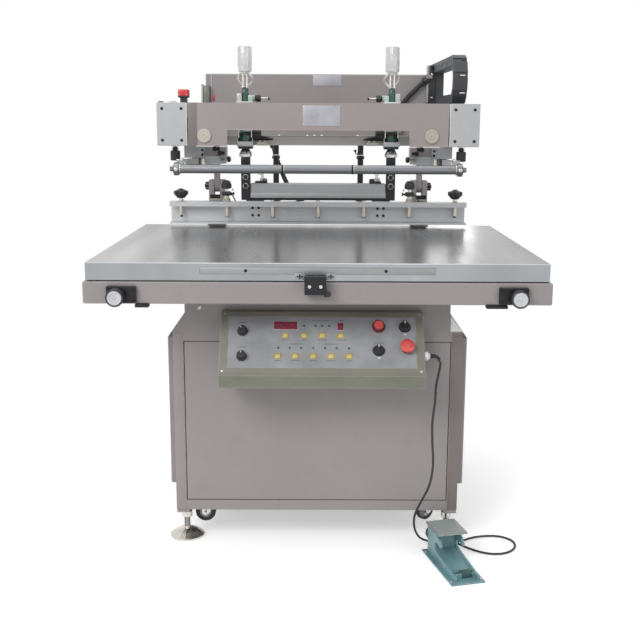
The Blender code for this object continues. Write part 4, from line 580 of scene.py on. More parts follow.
    def done(self, name, body, slot, sharp=38):
        mesh = bpy.data.meshes.new(name)
        self.bm.to_mesh(mesh)
        self.bm.free()
        mesh.transform(Matrix.Scale(MM, 4))
        for material in self.materials:
            mesh.materials.append(material)
        mesh.set_sharp_from_angle(angle=math.radians(sharp))
        made = bpy.data.objects.new(name, mesh)
        scene.collection.objects.link(made)
        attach(made, body)
        return made


# The cords come first: their routes are the CAD's own

PEDAL_CORD = [
    (0.3031, -0.44, 0.575), (0.3111, -0.44, 0.575), (0.3202, -0.44, 0.5728),
    (0.3275, -0.4405, 0.5665), (0.3311, -0.441, 0.555), (0.325, -0.442, 0.519),
    (0.32, -0.442, 0.487), (0.3195, -0.442, 0.452), (0.3135, -0.442, 0.394),
    (0.3145, -0.442, 0.339), (0.3185, -0.442, 0.271), (0.3105, -0.441, 0.211),
    (0.289, -0.437, 0.16), (0.273, -0.428, 0.117), (0.275, -0.408, 0.071),
    (0.293, -0.378, 0.029), (0.32, -0.354, 0.007), (0.352, -0.359, 0.0036),
    (0.385, -0.36, 0.0036), (0.42, -0.345, 0.0036), (0.455, -0.322, 0.0036),
    (0.493, -0.311, 0.0036), (0.533, -0.313, 0.0036), (0.562, -0.337, 0.0036),
    (0.569, -0.37, 0.0036), (0.556, -0.405, 0.0036), (0.528, -0.428, 0.0036),
    (0.494, -0.433, 0.0036), (0.461, -0.42, 0.0036), (0.432, -0.399, 0.005),
    (0.4, -0.377, 0.011), (0.3658, -0.3478, 0.024), (0.3491, -0.3417, 0.034),
    (0.3324, -0.3478, 0.042), (0.324, -0.361, 0.048), (0.3239, -0.3741, 0.05),
    (0.32758, -0.38862, 0.05),
]


def between(start, end, shares):
    """A hose's points: each share goes that part of the way from its start to its end."""
    return [tuple(a + (b - a) * part for a, b, part in zip(start, end, share)) for share in shares]


HEAD_HOSE = between(
    (-0.154, 0.464, 1.097),
    (-0.07, 0.415, 0.929),
    [(0, 0, 0), (0.03, 0, 0.07), (0.06, 0, 0.14), (0.2, 0.12, 0.33), (0.345, 0.28, 0.505),
     (0.54, 0.55, 0.71), (0.79, 0.92, 0.874), (0.895, 0.96, 0.937), (1, 1, 1)],
)
CHAIN_HOSE = between(
    (0.354, 0.407, 1.319),
    (0.268, 0.407, 1.184),
    [(0, 0, 0), (0.09, 0, 0.054), (0.18, 0, 0.108), (0.37, 0, 0.225), (0.6, 0, 0.37),
     (0.8, 0, 0.52), (0.94, 0, 0.67), (1, 0, 0.81), (1, 0, 0.905), (1, 0, 1)],
)


def smooth_route(points, steps=8):
    """Points along a smooth curve through a route's own points."""
    points = [Vector(point) for point in points]
    padded = [2 * points[0] - points[1], *points, 2 * points[-1] - points[-2]]
    fine = []
    for before, start, end, after in zip(padded, padded[1:], padded[2:], padded[3:]):
        for count in range(steps):
            t = count / steps
            fine.append(0.5 * (
                2 * start
                + (end - before) * t
                + (2 * before - 5 * start + 4 * end - after) * t ** 2
                + (3 * start - before - 3 * end + after) * t ** 3
            ))
    return [*fine, points[-1]]


def route_length(points):
    return sum((b - a).length for a, b in zip(points, points[1:]))


def evenly(points, step):
    """The same line with its points at even steps."""
    total = route_length(points)
    count = max(2, round(total / step))
    made = []
    index, done = 0, 0.0
    for number in range(count + 1):
        target = total * number / count
        while index < len(points) - 2 and done + (points[index + 1] - points[index]).length < target:
            done += (points[index + 1] - points[index]).length
            index += 1
        span = (points[index + 1] - points[index]).length
        made.append(points[index].lerp(points[index + 1], min(1.0, (target - done) / span)))
    return made


def in_mm(points):
    return [Vector(point) / MM for point in points]


cord_line = smooth_route(PEDAL_CORD)

HOSE_RADIUS = 8
WRAP_PITCH = 12.5


def wrapped(run, angle, index):
    """A hose's radius under its spiral wrap: a flat band with a groove beside each turn."""
    turn = (run / WRAP_PITCH - angle / (2 * math.pi)) % 1
    rise = min(1.0, max(0.0, (0.5 - abs(turn - 0.5)) * 9 - 0.35))
    return HOSE_RADIUS * (0.845 + 0.155 * rise)


for name, route in (("head_hose", HEAD_HOSE), ("chain_hose", CHAIN_HOSE)):
    line = smooth_route(route)
    hose = Form(RUBBER)
    hose.sweep(in_mm(evenly(line, 0.0011)), wrapped, 20)
    hose = hose.done(name + "_wrapped", "head", "black_rubber", 60)
    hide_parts(name)

NUT = [
    (8.3, 0.1), (12.1, 0.1), (12.6, 1), (12.6, 12), (11.9, 12.8),
    (11.9, 25.8), (11.1, 25.8), (11.1, 0.3), (8.3, 0.3), (8.3, 0.1),
]
nuts = Form(BLACK)
for route in (HEAD_HOSE, CHAIN_HOSE, CHAIN_HOSE[::-1]):
    near, away = in_mm(route[:2])
    turn = (near - away).to_track_quat("Z", "Y").to_matrix().to_4x4()
    nuts.turned(NUT, Matrix.Translation(near) @ turn, 48, 12, 0.012)
nuts.done("hose_gland_nuts", "head", "black_plastic")


# Places that several pieces share: the safety bar, the air cylinders and the screen clamp

BAR_Y, BAR_Z = -180, 1056
CYLINDER_X, CYLINDER_Y = 215, -50
CLAMP_Y = 368


# Stand: the bed's front edge

face = -503.3
block = Form()
block.use(NICKEL).bolts(4.2, 1.6, (-21, 8), -537.3, 778.5, FRONT)
block.use(BLACK_STEEL).box((-31, -538.2, 792.5), (19, -537.4, 803.5), 0.3)
block.use(BLACK).box((16.5, -529, 750), (28.5, -503.6, 757), 1)
stem = at(26.5, -529, 759.5, FRONT)
block.use(BLACK).turned([(0, 0), (5.5, 0), (7.5, 2), (7.8, 9), (6, 12), (0, 12.6)], stem, 28, 14, 0.03)
block.done("stop_block_fittings", "stand", "black_steel")

under = Form(BLACK_STEEL)
for low, high in ((-472.5, -437.5), (437.5, 492.5)):
    under.box((low, face - 6, 717.5), (high, face + 20, 725.7), 1.2)
under.done("bed_under_clips", "stand", "black_steel")

bolts = Form(BLACK_STEEL)
for side in (-1, 1):
    bolts.bolts(3.6, 3, (side * 475, side * 537), -517.3, (736.5, 766.5), FRONT)
bolts.done("adjuster_bracket_bolts", "stand", "black_steel")

for side, word in SIDES:
    x = side * 517
    cap = Form()
    cap.use(KNOB_GREY).turned(
        [(18.4, 0), (18.6, 1.2), (17.6, 2.1), (12, 2.4), (11.2, 1.2), (0, 1)],
        at(x, -547.3, 748.5, FRONT), 40,
    )
    cap.use(BLACK).turned(
        [(18.8, 1.5), (20, 2.2), (22.9, 0.2), (23.1, -2.2), (23.1, -20.5), (22.6, -22.5)],
        at(x, -547.3, 748.5, FRONT), 96, 32, 0.008,
    )
    cap.use(NICKEL).turned(
        [(0, 3.1), (2.8, 3), (4, 1.8), (4.4, 0.8), (0, 0.6)],
        at(x, -547.3, 748.5, FRONT), 20,
    )
    cap.done("adjuster_cap_" + word, "adjuster_" + word, "black_plastic")


# Stand: the table's strip and its small plates

strip = Form()
strip.use(ALUMINIUM).box((-303.5, -498.8, 804.8), (303.5, -496.2, 821.8), 0.5)
strip.use(BLACK_STEEL).bolts(4.2, 1.4, (-186, 176), -498.8, 813.5, FRONT)
strip.done("table_front_strip", "table", "aluminium")

plates = Form()
for low, high in ((-57.9, -35), (23, 45.1)):
    plates.use(ALUMINIUM).box((low, -502.2, 790.5), (high, -499.9, 807.5), 0.6)
    plates.use(BLACK_STEEL).rivets(2.4, 0.5, (low + 6, high - 6), -502.2, 799, FRONT, 16, 0.2)
    plates.use(BLACK_STEEL).box((low + 9.2, -502.6, 793), (high - 9.2, -502, 805), 0.2)
plates.done("table_stop_plates", "table", "aluminium")

spot = Form(WHITE)
spot.box((-328.5, -353, 683), (-320.5, -349.8, 690), 0.6)
spot.box((-325.5, -353.5, 688), (-319.5, -349.8, 693.5), 0.4)
spot.done("bed_plug", "stand", "off_white_plastic")

screws = Form(NICKEL)
screws.bolts(3.8, 2.2, (-570, -190, 190, 570), 427, 812, BACK)
for side in (-1, 1):
    screws.bolts(3.8, 2.2, side * 600, (-420, -35, 350), 812, (side, 0, 0))
screws.done("table_edge_screws", "table", "stainless_steel")


# Stand: the control box's face

FACE_ORIGIN = Vector((0, -495, 533))
FACE_UP = Vector((0.0, 0.63662, 0.77118))
FACE_OUT = Vector((0.0, -0.77118, 0.63662))
FACE_LOW, FACE_HIGH = 24, 177.2


def on_face(x, up, out=0):
    """A place on the sloped face, with Z out of it and Y up along it; the panel lies at out = 0."""
    point = FACE_ORIGIN + FACE_UP * up + FACE_OUT * (out - 1.5) + Vector((x, 0, 0))
    turn = Matrix(((1, 0, 0), FACE_UP, FACE_OUT)).transposed().to_4x4()
    return Matrix.Translation(point) @ turn


sheet = Form(PANEL)
left, right = -241, 265
holes = [(-202, 132), (-202, 57), (165, 147), (236, 147), (164, 76), (240, 83)]
HOLE = 5.2
xs = sorted({left, right, *[x + s * HOLE for x, up in holes for s in (-1, 1)]})
ups = sorted({FACE_LOW + 0.4, FACE_HIGH - 0.4, *[up + s * HOLE for x, up in holes for s in (-1, 1)]})
for x1, x2 in zip(xs, xs[1:]):
    for u1, u2 in zip(ups, ups[1:]):
        x, up = (x1 + x2) / 2, (u1 + u2) / 2
        if all(abs(x - hole[0]) > HOLE or abs(up - hole[1]) > HOLE for hole in holes):
            sheet.box((x1, u1, -0.9), (x2, u2, 0), 0, on_face(0, 0))
sheet = sheet.done("panel_film", "stand", "control_box_grey")
weld = sheet.modifiers.new("weld", "WELD")
weld.merge_threshold = 0.00002

marks = Form(MARK)
for x, up in ((-202, 132), (-202, 57)):
    for number in range(11):
        turn = on_face(x, up) @ turned_by(150 - 30 * number)
        reach = 19.5 if number % 5 == 0 else 17.8
        marks.box((-0.4, 14.5, -0.2), (0.4, reach, 0.15), 0, turn)
bars = [(-202, 160, 24), (-202, 86, 26), (-86.7, 167.5, 12), (9, 165.5, 46),
        (66, 167, 12), (-86.7, 107.5, 18), (-35.9, 107.5, 10), (13.2, 107.5, 26),
        (62.9, 107.5, 30), (-59, 95, 34), (36, 95, 34), (-106, 45.5, 16),
        (-59, 45.5, 22), (-11.5, 45.5, 20), (36.6, 45.5, 24), (84.6, 45.5, 14),
        (165, 169, 14), (236, 169, 20), (164, 99, 26), (240, 112, 14)]
for x, up, width in bars:
    marks.box((x - width / 2, up - 0.9, -0.2), (x + width / 2, up + 0.9, 0.15), 0, on_face(0, 0))
marks.done("panel_marks", "stand", "control_box_grey")

shows = Form()
for x1, x2, up1, up2 in ((-118, -55, 138.5, 162.5), (53.5, 70, 137.5, 159)):
    shows.use(LABEL).box((x1 - 1.8, up1 - 1.8, 0), (x2 + 1.8, up2 + 1.8, 0.9), 0.4, on_face(0, 0))
    shows.use(DISPLAY).box((x1, up1, 0), (x2, up2, 1.6), 0.5, on_face(0, 0))
shows.done("panel_displays", "stand", "red_plastic")

keys = Form()
places = [(x, 121) for x in (-86.7, -35.9, 13.2, 62.9)]
places += [(x, 59) for x in (-106, -59, -11.5, 36.6, 84.6)]
for x, up in places:
    keys.use(KEY_RING).box((x - 9.2, up - 8.2, -0.1), (x + 9.2, up + 8.2, 0.6), 0.3, on_face(0, 0))
    keys.use(KEY).box((x - 6.6, up - 5.8, 0.3), (x + 6.6, up + 5.8, 1.4), 0.5, on_face(0, 0))
keys.done("panel_keys", "stand", "off_white_plastic")

lights = Form(LED)
spots = [(x, 150) for x in (-36.8, -5.4, 12.7, 31.9)]
spots += [(x, 83) for x in (-105, -74.5, -43.8, -11.2, 20.8, 51.3, 84.2)]
for x, up in spots:
    lights.turned([(3.1, 0), (2.9, 0.6), (2.2, 1.3), (1.2, 1.7), (0, 1.8)], on_face(x, up), 16)
lights.done("panel_lights", "stand", "black_plastic")


for word, up, turn in (("upper", 132, 40), ("lower", 57, 15)):
    place = on_face(-202, up) @ turned_by(turn)
    knob = Form()
    knob.use(BLACK).turned([(11.2, 1.2), (14, 1.4), (13.8, 2.6), (11.3, 4.6)], place, 36)
    knob.use(BLACK).turned([(11.1, 4.4), (11.25, 16.5), (10.2, 17.6), (0, 17.8)], place, 72, 18, 0.035)
    knob.use(WHITE).box((-0.8, 4, 17.4), (0.8, 10.8, 18.1), 0.2, place)
    knob.use(WHITE).box((-0.8, 10.8, 4), (0.8, 13.4, 4.6), 0.2, place)
    knob.done("speed_knob_skirt_" + word, "speed_" + word, "black_plastic")
for word, x, up, turn in (("upper", 236, 147, -12), ("lower", 164, 76, -28)):
    place = on_face(x, up)
    dial = Form(WHITE)
    dial.box((-1.1, 3.5, 16), (1.1, 11.8, 17.8), 0.3, place)
    dial.done("selector_pointer_" + word, "switch_" + word, "off_white_plastic")
    bezel = Form()
    bezel.use(BLACK_STEEL).ring(14.6, 16.3, 1.6, place, 36)
    bezel.use(WHITE).box((-3.5, -23.6, -0.1), (3.5, -19.6, 0.3), 0, place)
    bezel.done("selector_bezel_" + word, "stand", "black_plastic")
cap = Form(BUTTON_RED)
place = on_face(165, 147)
cap.turned([(12.1, 14.5), (12.1, 15.2), (11.2, 15.8), (6, 15.3), (0, 15.1)], place, 32)
cap.done("push_button_face", "button", "red_plastic")
rim = Form(DARK_RED)
rim.ring(15.7, 17.6, 5.2, place, 40, 0.9)
rim.done("push_button_bezel", "stand", "red_plastic")
stop = Form(DARK_RED)
place = on_face(240, 83)
for number in range(3):
    turn = place @ turned_by(120 * number)
    arrow = [(-2.2, 10.5), (2.6, 12.5), (2.6, 8.5)]
    stop.prism(arrow, 22.8, 24.3, 0, turn)
stop.done("stop_button_marks", "stop_button", "red_plastic")
collar = Form(BLACK_STEEL)
collar.ring(7, 15, 2.8, place, 36, 0.6)
collar.done("stop_button_collar", "stand", "black_plastic")


trim = Form(NICKEL)
for x in (-252, 276):
    for up in (14, 186):
        trim.socket_bolt(3.2, 1.2, on_face(x, up, 1.5))
for side, x in ((-1, -263.2), (1, 287.2)):
    for y, z in ((-372, 668), (-372, 512), (-470, 512)):
        trim.socket_bolt(3, 1.6, at(x, y, z, (side, 0, 0)))
trim.done("control_box_screws", "stand", "control_box_grey")
nut = Form(WHITE)
nut.turned(
    [(3.5, 15), (6.2, 15), (8.5, 11), (10, 10.5), (12, 9.5), (12, 4.5)],
    at(287.3, -440, 575, RIGHT), 48, 12, 0.03,
)
nut.done("cord_gland_nut", "stand", "off_white_plastic")


# Print head: arms and their end plates

for side, word in SIDES:
    plate = Form()
    # Painted highlight: a pale strip at the end plate's inner edge, where the arm's lit side shows
    plate.use(PAINTED_LIGHT_GREY).box((side * 376.6, -130.1, 1119.5), (side * 380.2, -127.5, 1240.5), 0.4)
    plate.use(BLACK_STEEL).bolts(4.3, 1.6, (side * 392.6, side * 447.9), -130, (1135, 1224), FRONT)
    outer = side * 460.7
    plate.use(NICKEL).bolts(4.2, 1.8, outer, (-95, 70, 235, 400, 565), 1140, (side, 0, 0))
    # Painted shade: dark strips for the shade in the grooves along the arm's outer side
    for z in (1160, 1200):
        plate.use(PAINTED_SHADE_DARK).box((outer, -117, z - 1.6), (outer + side * 0.4, 622, z + 1.6), 0)
    plate.done("arm_fittings_" + word, "head", "aluminium")

top = Form()
top.use(BLACK_STEEL).box((-459, -124, 1239.2), (-445, -108, 1244.2), 1.2)
# Painted shade: three dark dots for shaded holes in the arm's top
for x in (-446.9, -436.6, -426):
    top.use(PAINTED_SHADE_DARK).disc(1.7, 1, at(x, -112, 1239.2), 12, 0.3)
top.use(CREAM).box((-430.5, -117, 1239.2), (-408.3, -85, 1243.2), 1.5)
top.use(NICKEL).hexagon(4.6, 3.4, at(-424, -101, 1242.8))
top.use(NICKEL).hexagon(4.6, 3.4, at(-414.5, -101, 1242.8))
top.done("arm_top_bits", "head", "black_steel")

switch = Form()
switch.use(RED).box((-444.5, 196.5, 1267.2), (-415.5, 198.4, 1284.8), 0.6)
switch.use(NICKEL).turned([(3.4, 0), (3.4, 2.2), (2.2, 3.4), (0, 3.8)], at(-446, 212, 1278, LEFT), 20)
switch.use(NICKEL).rivets(1.3, 0.6, (-441.5, -418.5), 196.5, (1269.5, 1282.5), FRONT, 12, 0.2)
switch.use(BLACK).turned(
    [(5.6, 0), (5.6, 1.4), (3.4, 3), (3, 6.8), (0, 6.8)],
    at(-430, 242, 1262, BACK), 24,
)
switch.done("arm_switch_lid", "head", "red_plastic")

near = Form()
near.use(CREAM).box((-394.7, 398, 1239.2), (-388.5, 416, 1309), 1)
near.use(GREY_GREEN).box((-387, 400, 1239.2), (-368, 419.7, 1305), 1.4)
near.use(LABEL).box((-363.2, 417.8, 1220), (-360, 419.9, 1340), 0.4)
near.use(RED).box((-359.6, 418, 1256), (-351.8, 419.9, 1274), 0.4)
near.use(RED).box((-359.6, 418, 1244), (-356, 419.9, 1252), 0.3)
near.done("beam_left_bits", "head", "off_white_plastic")

blank = Form()
blank.use(LABEL).box((-19.6, 418.6, 1305.6), (77.5, 420, 1340.5), 0.5)
blank.use(NICKEL).rivets(1.3, 0.7, (-16.6, 74.5), 418.6, (1308.6, 1337.5), FRONT, 12, 0.2)
blank.done("beam_bare_plate", "head", "off_white_plastic")

seams = Form()
seams.use(PAINT).box((-300, 599, 1150), (300, 601.4, 1315), 0.6)
seams.use(BLACK_STEEL).bolts(4.2, 1.4, (-288, 0, 288), 601.4, (1160, 1305), BACK)
seams.done("beam_rear_plate", "head", "warm_grey_paint")


# Print head: drag chain's bracket and its link pins

edge = Form()
edge.use(ALUMINIUM_Z).box((364, 410.5, 1252), (371.2, 419.7, 1373.5), 0.8)
edge.use(BLACK).box((372.2, 406.5, 1242), (390.5, 419.7, 1366.2), 1.5)
edge.use(BLACK).box((372.2, 398, 1366.8), (410.8, 419.7, 1373.8), 1)
edge.use(NICKEL).rivets(3.4, 1.2, 381.5, 406.5, (1268, 1345), FRONT, 18, 0.6)
edge.done("chain_bracket_plates", "head", "black_plastic")

pins = Form()
radius = 55
mid_y, mid_z = -40, 1311.3
high_end = 480.8
upper, bend = high_end - mid_y, math.pi * radius
run = 37.2
while run < upper + bend + 365:
    if run < upper:
        y, z = high_end - run, mid_z + radius
    elif run < upper + bend:
        turn = (run - upper) / radius
        y, z = mid_y - radius * math.sin(turn), mid_z + radius * math.cos(turn)
    else:
        y, z = mid_y + run - upper - bend, mid_z - radius
    for x, way in ((387.2, LEFT), (426.8, RIGHT)):
        place = at(x, y, z, way)
        pins.use(CHAIN_BLACK).ring(3.4, 7.8, 0.7, place, 20, 0.3)
        pins.use(CHAIN_BLACK).disc(2.8, 0.9, place, 14, 0.3)
    run += 40
for z in (1271.8, 1320.7):
    pins.use(WHITE).box((404.5, -112.6, z - 1.7), (419.5, -110.6, z + 1.7), 0.6)
pins.done("chain_pins", "head", "black_plastic")


# Carriage: the cover's face and the rail

face = Form()
for x, z in ((-327.7, 1147.6), (326, 1147.9)):
    face.use(CREAM).turned(
        [
            (19.8, 0), (19.8, 3.2), (18.8, 4.4), (16, 5), (15.4, 4.3),
            (9, 4), (8.2, 4.8), (4, 5), (3, 3.4), (0, 3),
        ],
        at(x, -130, z, FRONT), 44,
    )
# Painted shadow: a darker strip where the left end plate's shadow falls on the cover
face.use(SHADE_PAINT).box((-373.6, -130.7, 1119.4), (-348, -129.8, 1240.6), 0.3)
face.use(LABEL).box((-45, -130.9, 1176.9), (61.6, -129.9, 1234.4), 0.4)
face.use(NICKEL).rivets(1.5, 0.7, (-41.8, 58.4), -130.9, (1180.1, 1231.2), FRONT, 12, 0.2)
for side in (-1, 1):
    face.use(COVER_PAINT).box((side * 262, -130.6, 1119.4), (side * 266, -129.8, 1164.5), 0.3)
face.use(COVER_PAINT).box((-264, -130.6, 1164.2), (264, -129.8, 1166.4), 0.3)
face.done("cover_face_details", "carriage", "warm_grey_paint")

rail = Form()
rail.use(ALUMINIUM).box((-125, -27.5, 1144.5), (125, -25.5, 1147.5), 0.5)
for x in (-118, -33, -12, 10, 118):
    rail.use(NICKEL).turned(
        [(5, 0), (4.9, 0.8), (3.6, 2.1), (1.8, 2.7), (0, 2.8)],
        at(x, -8, 1147, UP), 22,
    )
rail.use(BLACK_STEEL).bolts(4.6, 3, (-360, -340, 340, 360), 0, 1199.5, UP)
rail.use(BLACK_STEEL).bolts(4.2, 1.6, (-345, -200, 200, 345), 29.3, 1133, BACK)
rail.done("rail_bolts", "carriage", "aluminium")

tray = Form()
for side in (-1, 1):
    x = side * 162
    tray.use(CREAM).box((x - 20, -64, 1119), (x + 14, -28, 1129), 2)
    tray.use(NICKEL).hexagon(4.5, 4, at(x - 12, -46, 1129, UP))
    tray.use(NICKEL).hexagon(4, 3.5, at(x + 4, -46, 1129, UP))
tray.done("valve_mounts", "carriage", "off_white_plastic")


# Carriage: the two air cylinders with their speed valves

def air_cylinder(side, word):
    centre = side * CYLINDER_X
    stand = at(centre, CYLINDER_Y, 0)
    inward = (-side, 0, 0)
    body = Form()

    body.use(CLEAR).turned(
        [
            (0, 1402), (16.5, 1402), (19, 1400.8), (20, 1398), (20, 1344),
            (19.3, 1340), (20, 1338), (19.3, 1332), (17.2, 1330.5), (0, 1330.5),
        ],
        stand, 96, 12, 0.022,
    )
    body.use(WHITE).turned([(0, 1331.5), (14, 1331.5), (14, 1327), (8, 1325.5), (0, 1325.5)], stand, 32)
    for x in (-5.8, 5.8):
        rod = at(centre + x, CYLINDER_Y, 0)
        body.use(NICKEL).turned([(0, 1330), (3.2, 1330), (3.2, 1283.5), (0, 1283.5)], rod, 18)
        body.use(NICKEL).hexagon(4.8, 4, at(centre + x, CYLINDER_Y, 1285))
    loop = [
        (centre - side * (6 + 17 * math.sin(t)), -52 - 6 * math.sin(2 * t), 1329 - 40 * t / math.pi)
        for t in [math.pi * k / 20 for k in range(21)]
    ]
    body.use(CLEAR).sweep(loop, 3, 12)
    loop = [
        (centre + side * (10 + 10 * math.sin(t)), CYLINDER_Y, 1330 - 34 * t / math.pi)
        for t in [math.pi * k / 14 for k in range(15)]
    ]
    body.use(CLEAR).sweep(loop, 2.2, 10)

    body.use(GREEN).turned(
        [(0, 1285.5), (7.2, 1285.5), (10, 1282.8), (10.2, 1272), (11.8, 1270), (11.8, 1244), (0, 1244)],
        stand, 32,
    )
    for reach, top, material in ((-side, 1264, MINT), (side, 1269, CLEAR)):
        body.use(material).box((centre + reach * 9, -65.5, 1245.2), (centre + reach * 23.5, -36, top), 3)
    body.use(WHITE).box((centre - 24.5, -72, 1241.2), (centre + 24.5, -28, 1245.5), 1.2)
    body.use(ALUMINIUM_Z).turned(
        [(6.8, 1160), (17.2, 1160), (17.2, 1241.2), (0, 1241.2), (0, 1238), (6.8, 1238), (6.8, 1160)],
        stand, 40,
    )
    for k in range(4):
        angle = math.pi / 4 + k * math.pi / 2
        tie = at(centre + 26.5 * math.cos(angle), CYLINDER_Y + 26.5 * math.sin(angle), 0)
        body.use(NICKEL).turned([(0, 1142), (1.9, 1142), (1.9, 1242), (0, 1242)], tie, 12)
    body.use(GREEN).turned(
        [
            (6.8, 1131), (19, 1131), (19.6, 1133), (19.6, 1156), (18.8, 1157.5),
            (17.2, 1160), (6.8, 1160), (6.8, 1131),
        ],
        stand, 36,
    )
    body.use(WHITE).turned(
        [(13.5, 1160.2), (17.3, 1160.2), (16.5, 1166), (12, 1169), (12, 1160.2)],
        at(centre - side * 5, -53, 0), 28,
    )
    body.use(BLACK).ring(17.8, 20.5, 4.6, at(centre, CYLINDER_Y, 1150), 36, 0.8)
    body.use(ALUMINIUM_Z).box((centre - 23, -72, 1116), (centre - 20.5, -28, 1142), 0.8)
    body.use(ALUMINIUM_Z).box((centre + 20.5, -72, 1116), (centre + 23, -28, 1142), 0.8)
    body.use(ALUMINIUM_Z).box((centre - 23.8, -73.2, 1116.5), (centre + 23.8, -57.2, 1130.8), 1.2)
    body.use(BLACK_STEEL).ring(13.8, 22.6, 9.2, at(centre, CYLINDER_Y, 1109.4), 36, 1.2)

    valve = at(centre, CYLINDER_Y, 1255, inward)
    body.use(MINT).turned([(0, 8), (8, 8), (8, 24), (10, 25), (10, 28), (0, 28)], valve, 28)
    body.use(BLACK).turned(
        [(0, 27.5), (7, 27.5), (7.4, 31), (10, 32.5), (10.2, 44), (8.6, 46.2), (0, 46.2)],
        valve, 60, 15, 0.03,
    )
    body.use(NICKEL).turned(
        [(0, 46), (2.6, 46), (2.4, 64), (4.4, 65.5), (4.6, 71), (3, 72.8), (0, 72.8)],
        valve, 20,
    )
    body.use(BLACK).ring(2.8, 5, 5, valve @ at(0, 0, 67), 20, 0.8)

    low = at(centre, CYLINDER_Y, 1149, inward)
    body.use(BLACK).turned(
        [(0, 19), (12, 19), (15, 22), (16, 33), (15.5, 44), (12, 46.5), (0, 46.5)],
        low, 60, 15, 0.03,
    )
    body.use(BLACK_STEEL).turned(
        [(0, 46), (7, 46), (6.2, 60), (3, 74), (2.2, 82), (0, 82)],
        low @ turned_by(9, "X"), 24,
    )
    body = body.done("air_cylinder_detailed_" + word, "carriage", "cylinder_finish")
    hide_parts("air_cylinder_" + word)


for side, word in SIDES:
    air_cylinder(side, word)


# Squeegee: bracket bolts and the holder's clamps

for side, word in SIDES:
    x = side * CYLINDER_X
    bits = Form()
    for z in (1001, 1027):
        bits.use(NICKEL).ring(6.2, 8.3, 3, at(x, -64, z, FRONT), 32, 0.8)
        bits.use(BLACK_STEEL).socket_bolt(6, 1.2, at(x, -66, z, FRONT))
    bits.use(BLACK_STEEL).box((x - 12.8, -63.2, 1064), (x + 12.8, -61.9, 1085), 0.8)
    bits.use(NICKEL).ring(6.4, 11.2, 6, at(x, CYLINDER_Y, 1094.5), 30, 1.4)
    clamp = x - side * 45.5
    bits.use(BLACK_STEEL).box((clamp - 18, -61, 1008.8), (clamp + 18, -39, 1014.8), 1.2)
    bits.use(ALUMINIUM).box((clamp - 4, -58, 1014.8), (clamp + 14, -42, 1024), 1.6)
    bits.use(NICKEL).turned([(4, 0), (4, 12), (2.8, 13.2), (0, 13.2)], at(clamp + 4, -50, 1023.8), 20)
    bits.use(BLACK).turned(
        [(0, 0), (8.8, 0), (9.2, 1.6), (9, 6), (6, 7.6), (0, 7.8)],
        at(clamp - side * 8, -50, 1014.8), 40, 8, 0.08,
    )
    bits.use(WHITE).box((clamp + side * 4 - 6, -60, 1033), (clamp + side * 4 + 6, -56, 1037.5), 0.8)
    bits.done("squeegee_fittings_" + word, "squeegee", "black_steel")
ends = Form()
for low, high in ((-64, -62.6), (-37.4, -36)):
    ends.use(ALUMINIUM).box((-200.8, low, 966), (200.8, high, 980), 0.4)
ends.use(BLACK_STEEL).bolts(3.6, 2.2, (-168, -56, 56, 168), -37, 988, BACK)
ends.done("holder_cheeks", "squeegee", "aluminium")


# Print head: the screen clamp

screws = Form()
for number in range(-2, 3):
    x = number * 155.5
    screws.use(NICKEL).turned(
        [(5.1, 0), (7.8, 0), (7.8, 1.8), (6.2, 2.6), (6.2, 10), (5, 11.2), (0, 11.4)],
        at(x, CLAMP_Y, 919), 24,
    )
    screws.use(PALE_PLATE).turned([(5.2, 0), (6.6, 0), (6.6, 30), (5.2, 30)], at(x, CLAMP_Y, 872), 20)
    screws.use(NICKEL).turned([(0, 0), (7.2, 0), (8.2, 3), (5.2, 4.6)], at(x, CLAMP_Y, 863.2), 20)
screws.done("clamp_screw_caps", "head", "chrome")

for side, word in SIDES:
    x = side * 466.5
    knob = Form()
    knob.use(NICKEL).hexagon(8.5, 5.6, at(x, CLAMP_Y, 919.6))
    knob.use(PALE_PLATE).ring(5.1, 6.3, 44, at(x, CLAMP_Y, 872.5), 24, 0.3)
    cone = [(5.2, 925.2), (7.2, 925.2), (6.8, 929.6), (5.2, 929.6)]
    knob.use(NICKEL).turned(cone, at(x, CLAMP_Y, 0), 24)
    cap = [(0, 957.6), (9, 957.6), (8.6, 960.6), (6, 962), (0, 962.2)]
    knob.use(BLACK).turned(cap, at(x, CLAMP_Y, 0), 28)
    knob.done("star_knob_nut_" + word, "star_" + word, "black_plastic")
    bolts = Form(BLACK_STEEL)
    bolts.bolts(4.6, 3, (side * 204, side * 225), 392, (870, 895), FRONT)
    bolts.done("clamp_bolts_" + word, "head", "black_steel")

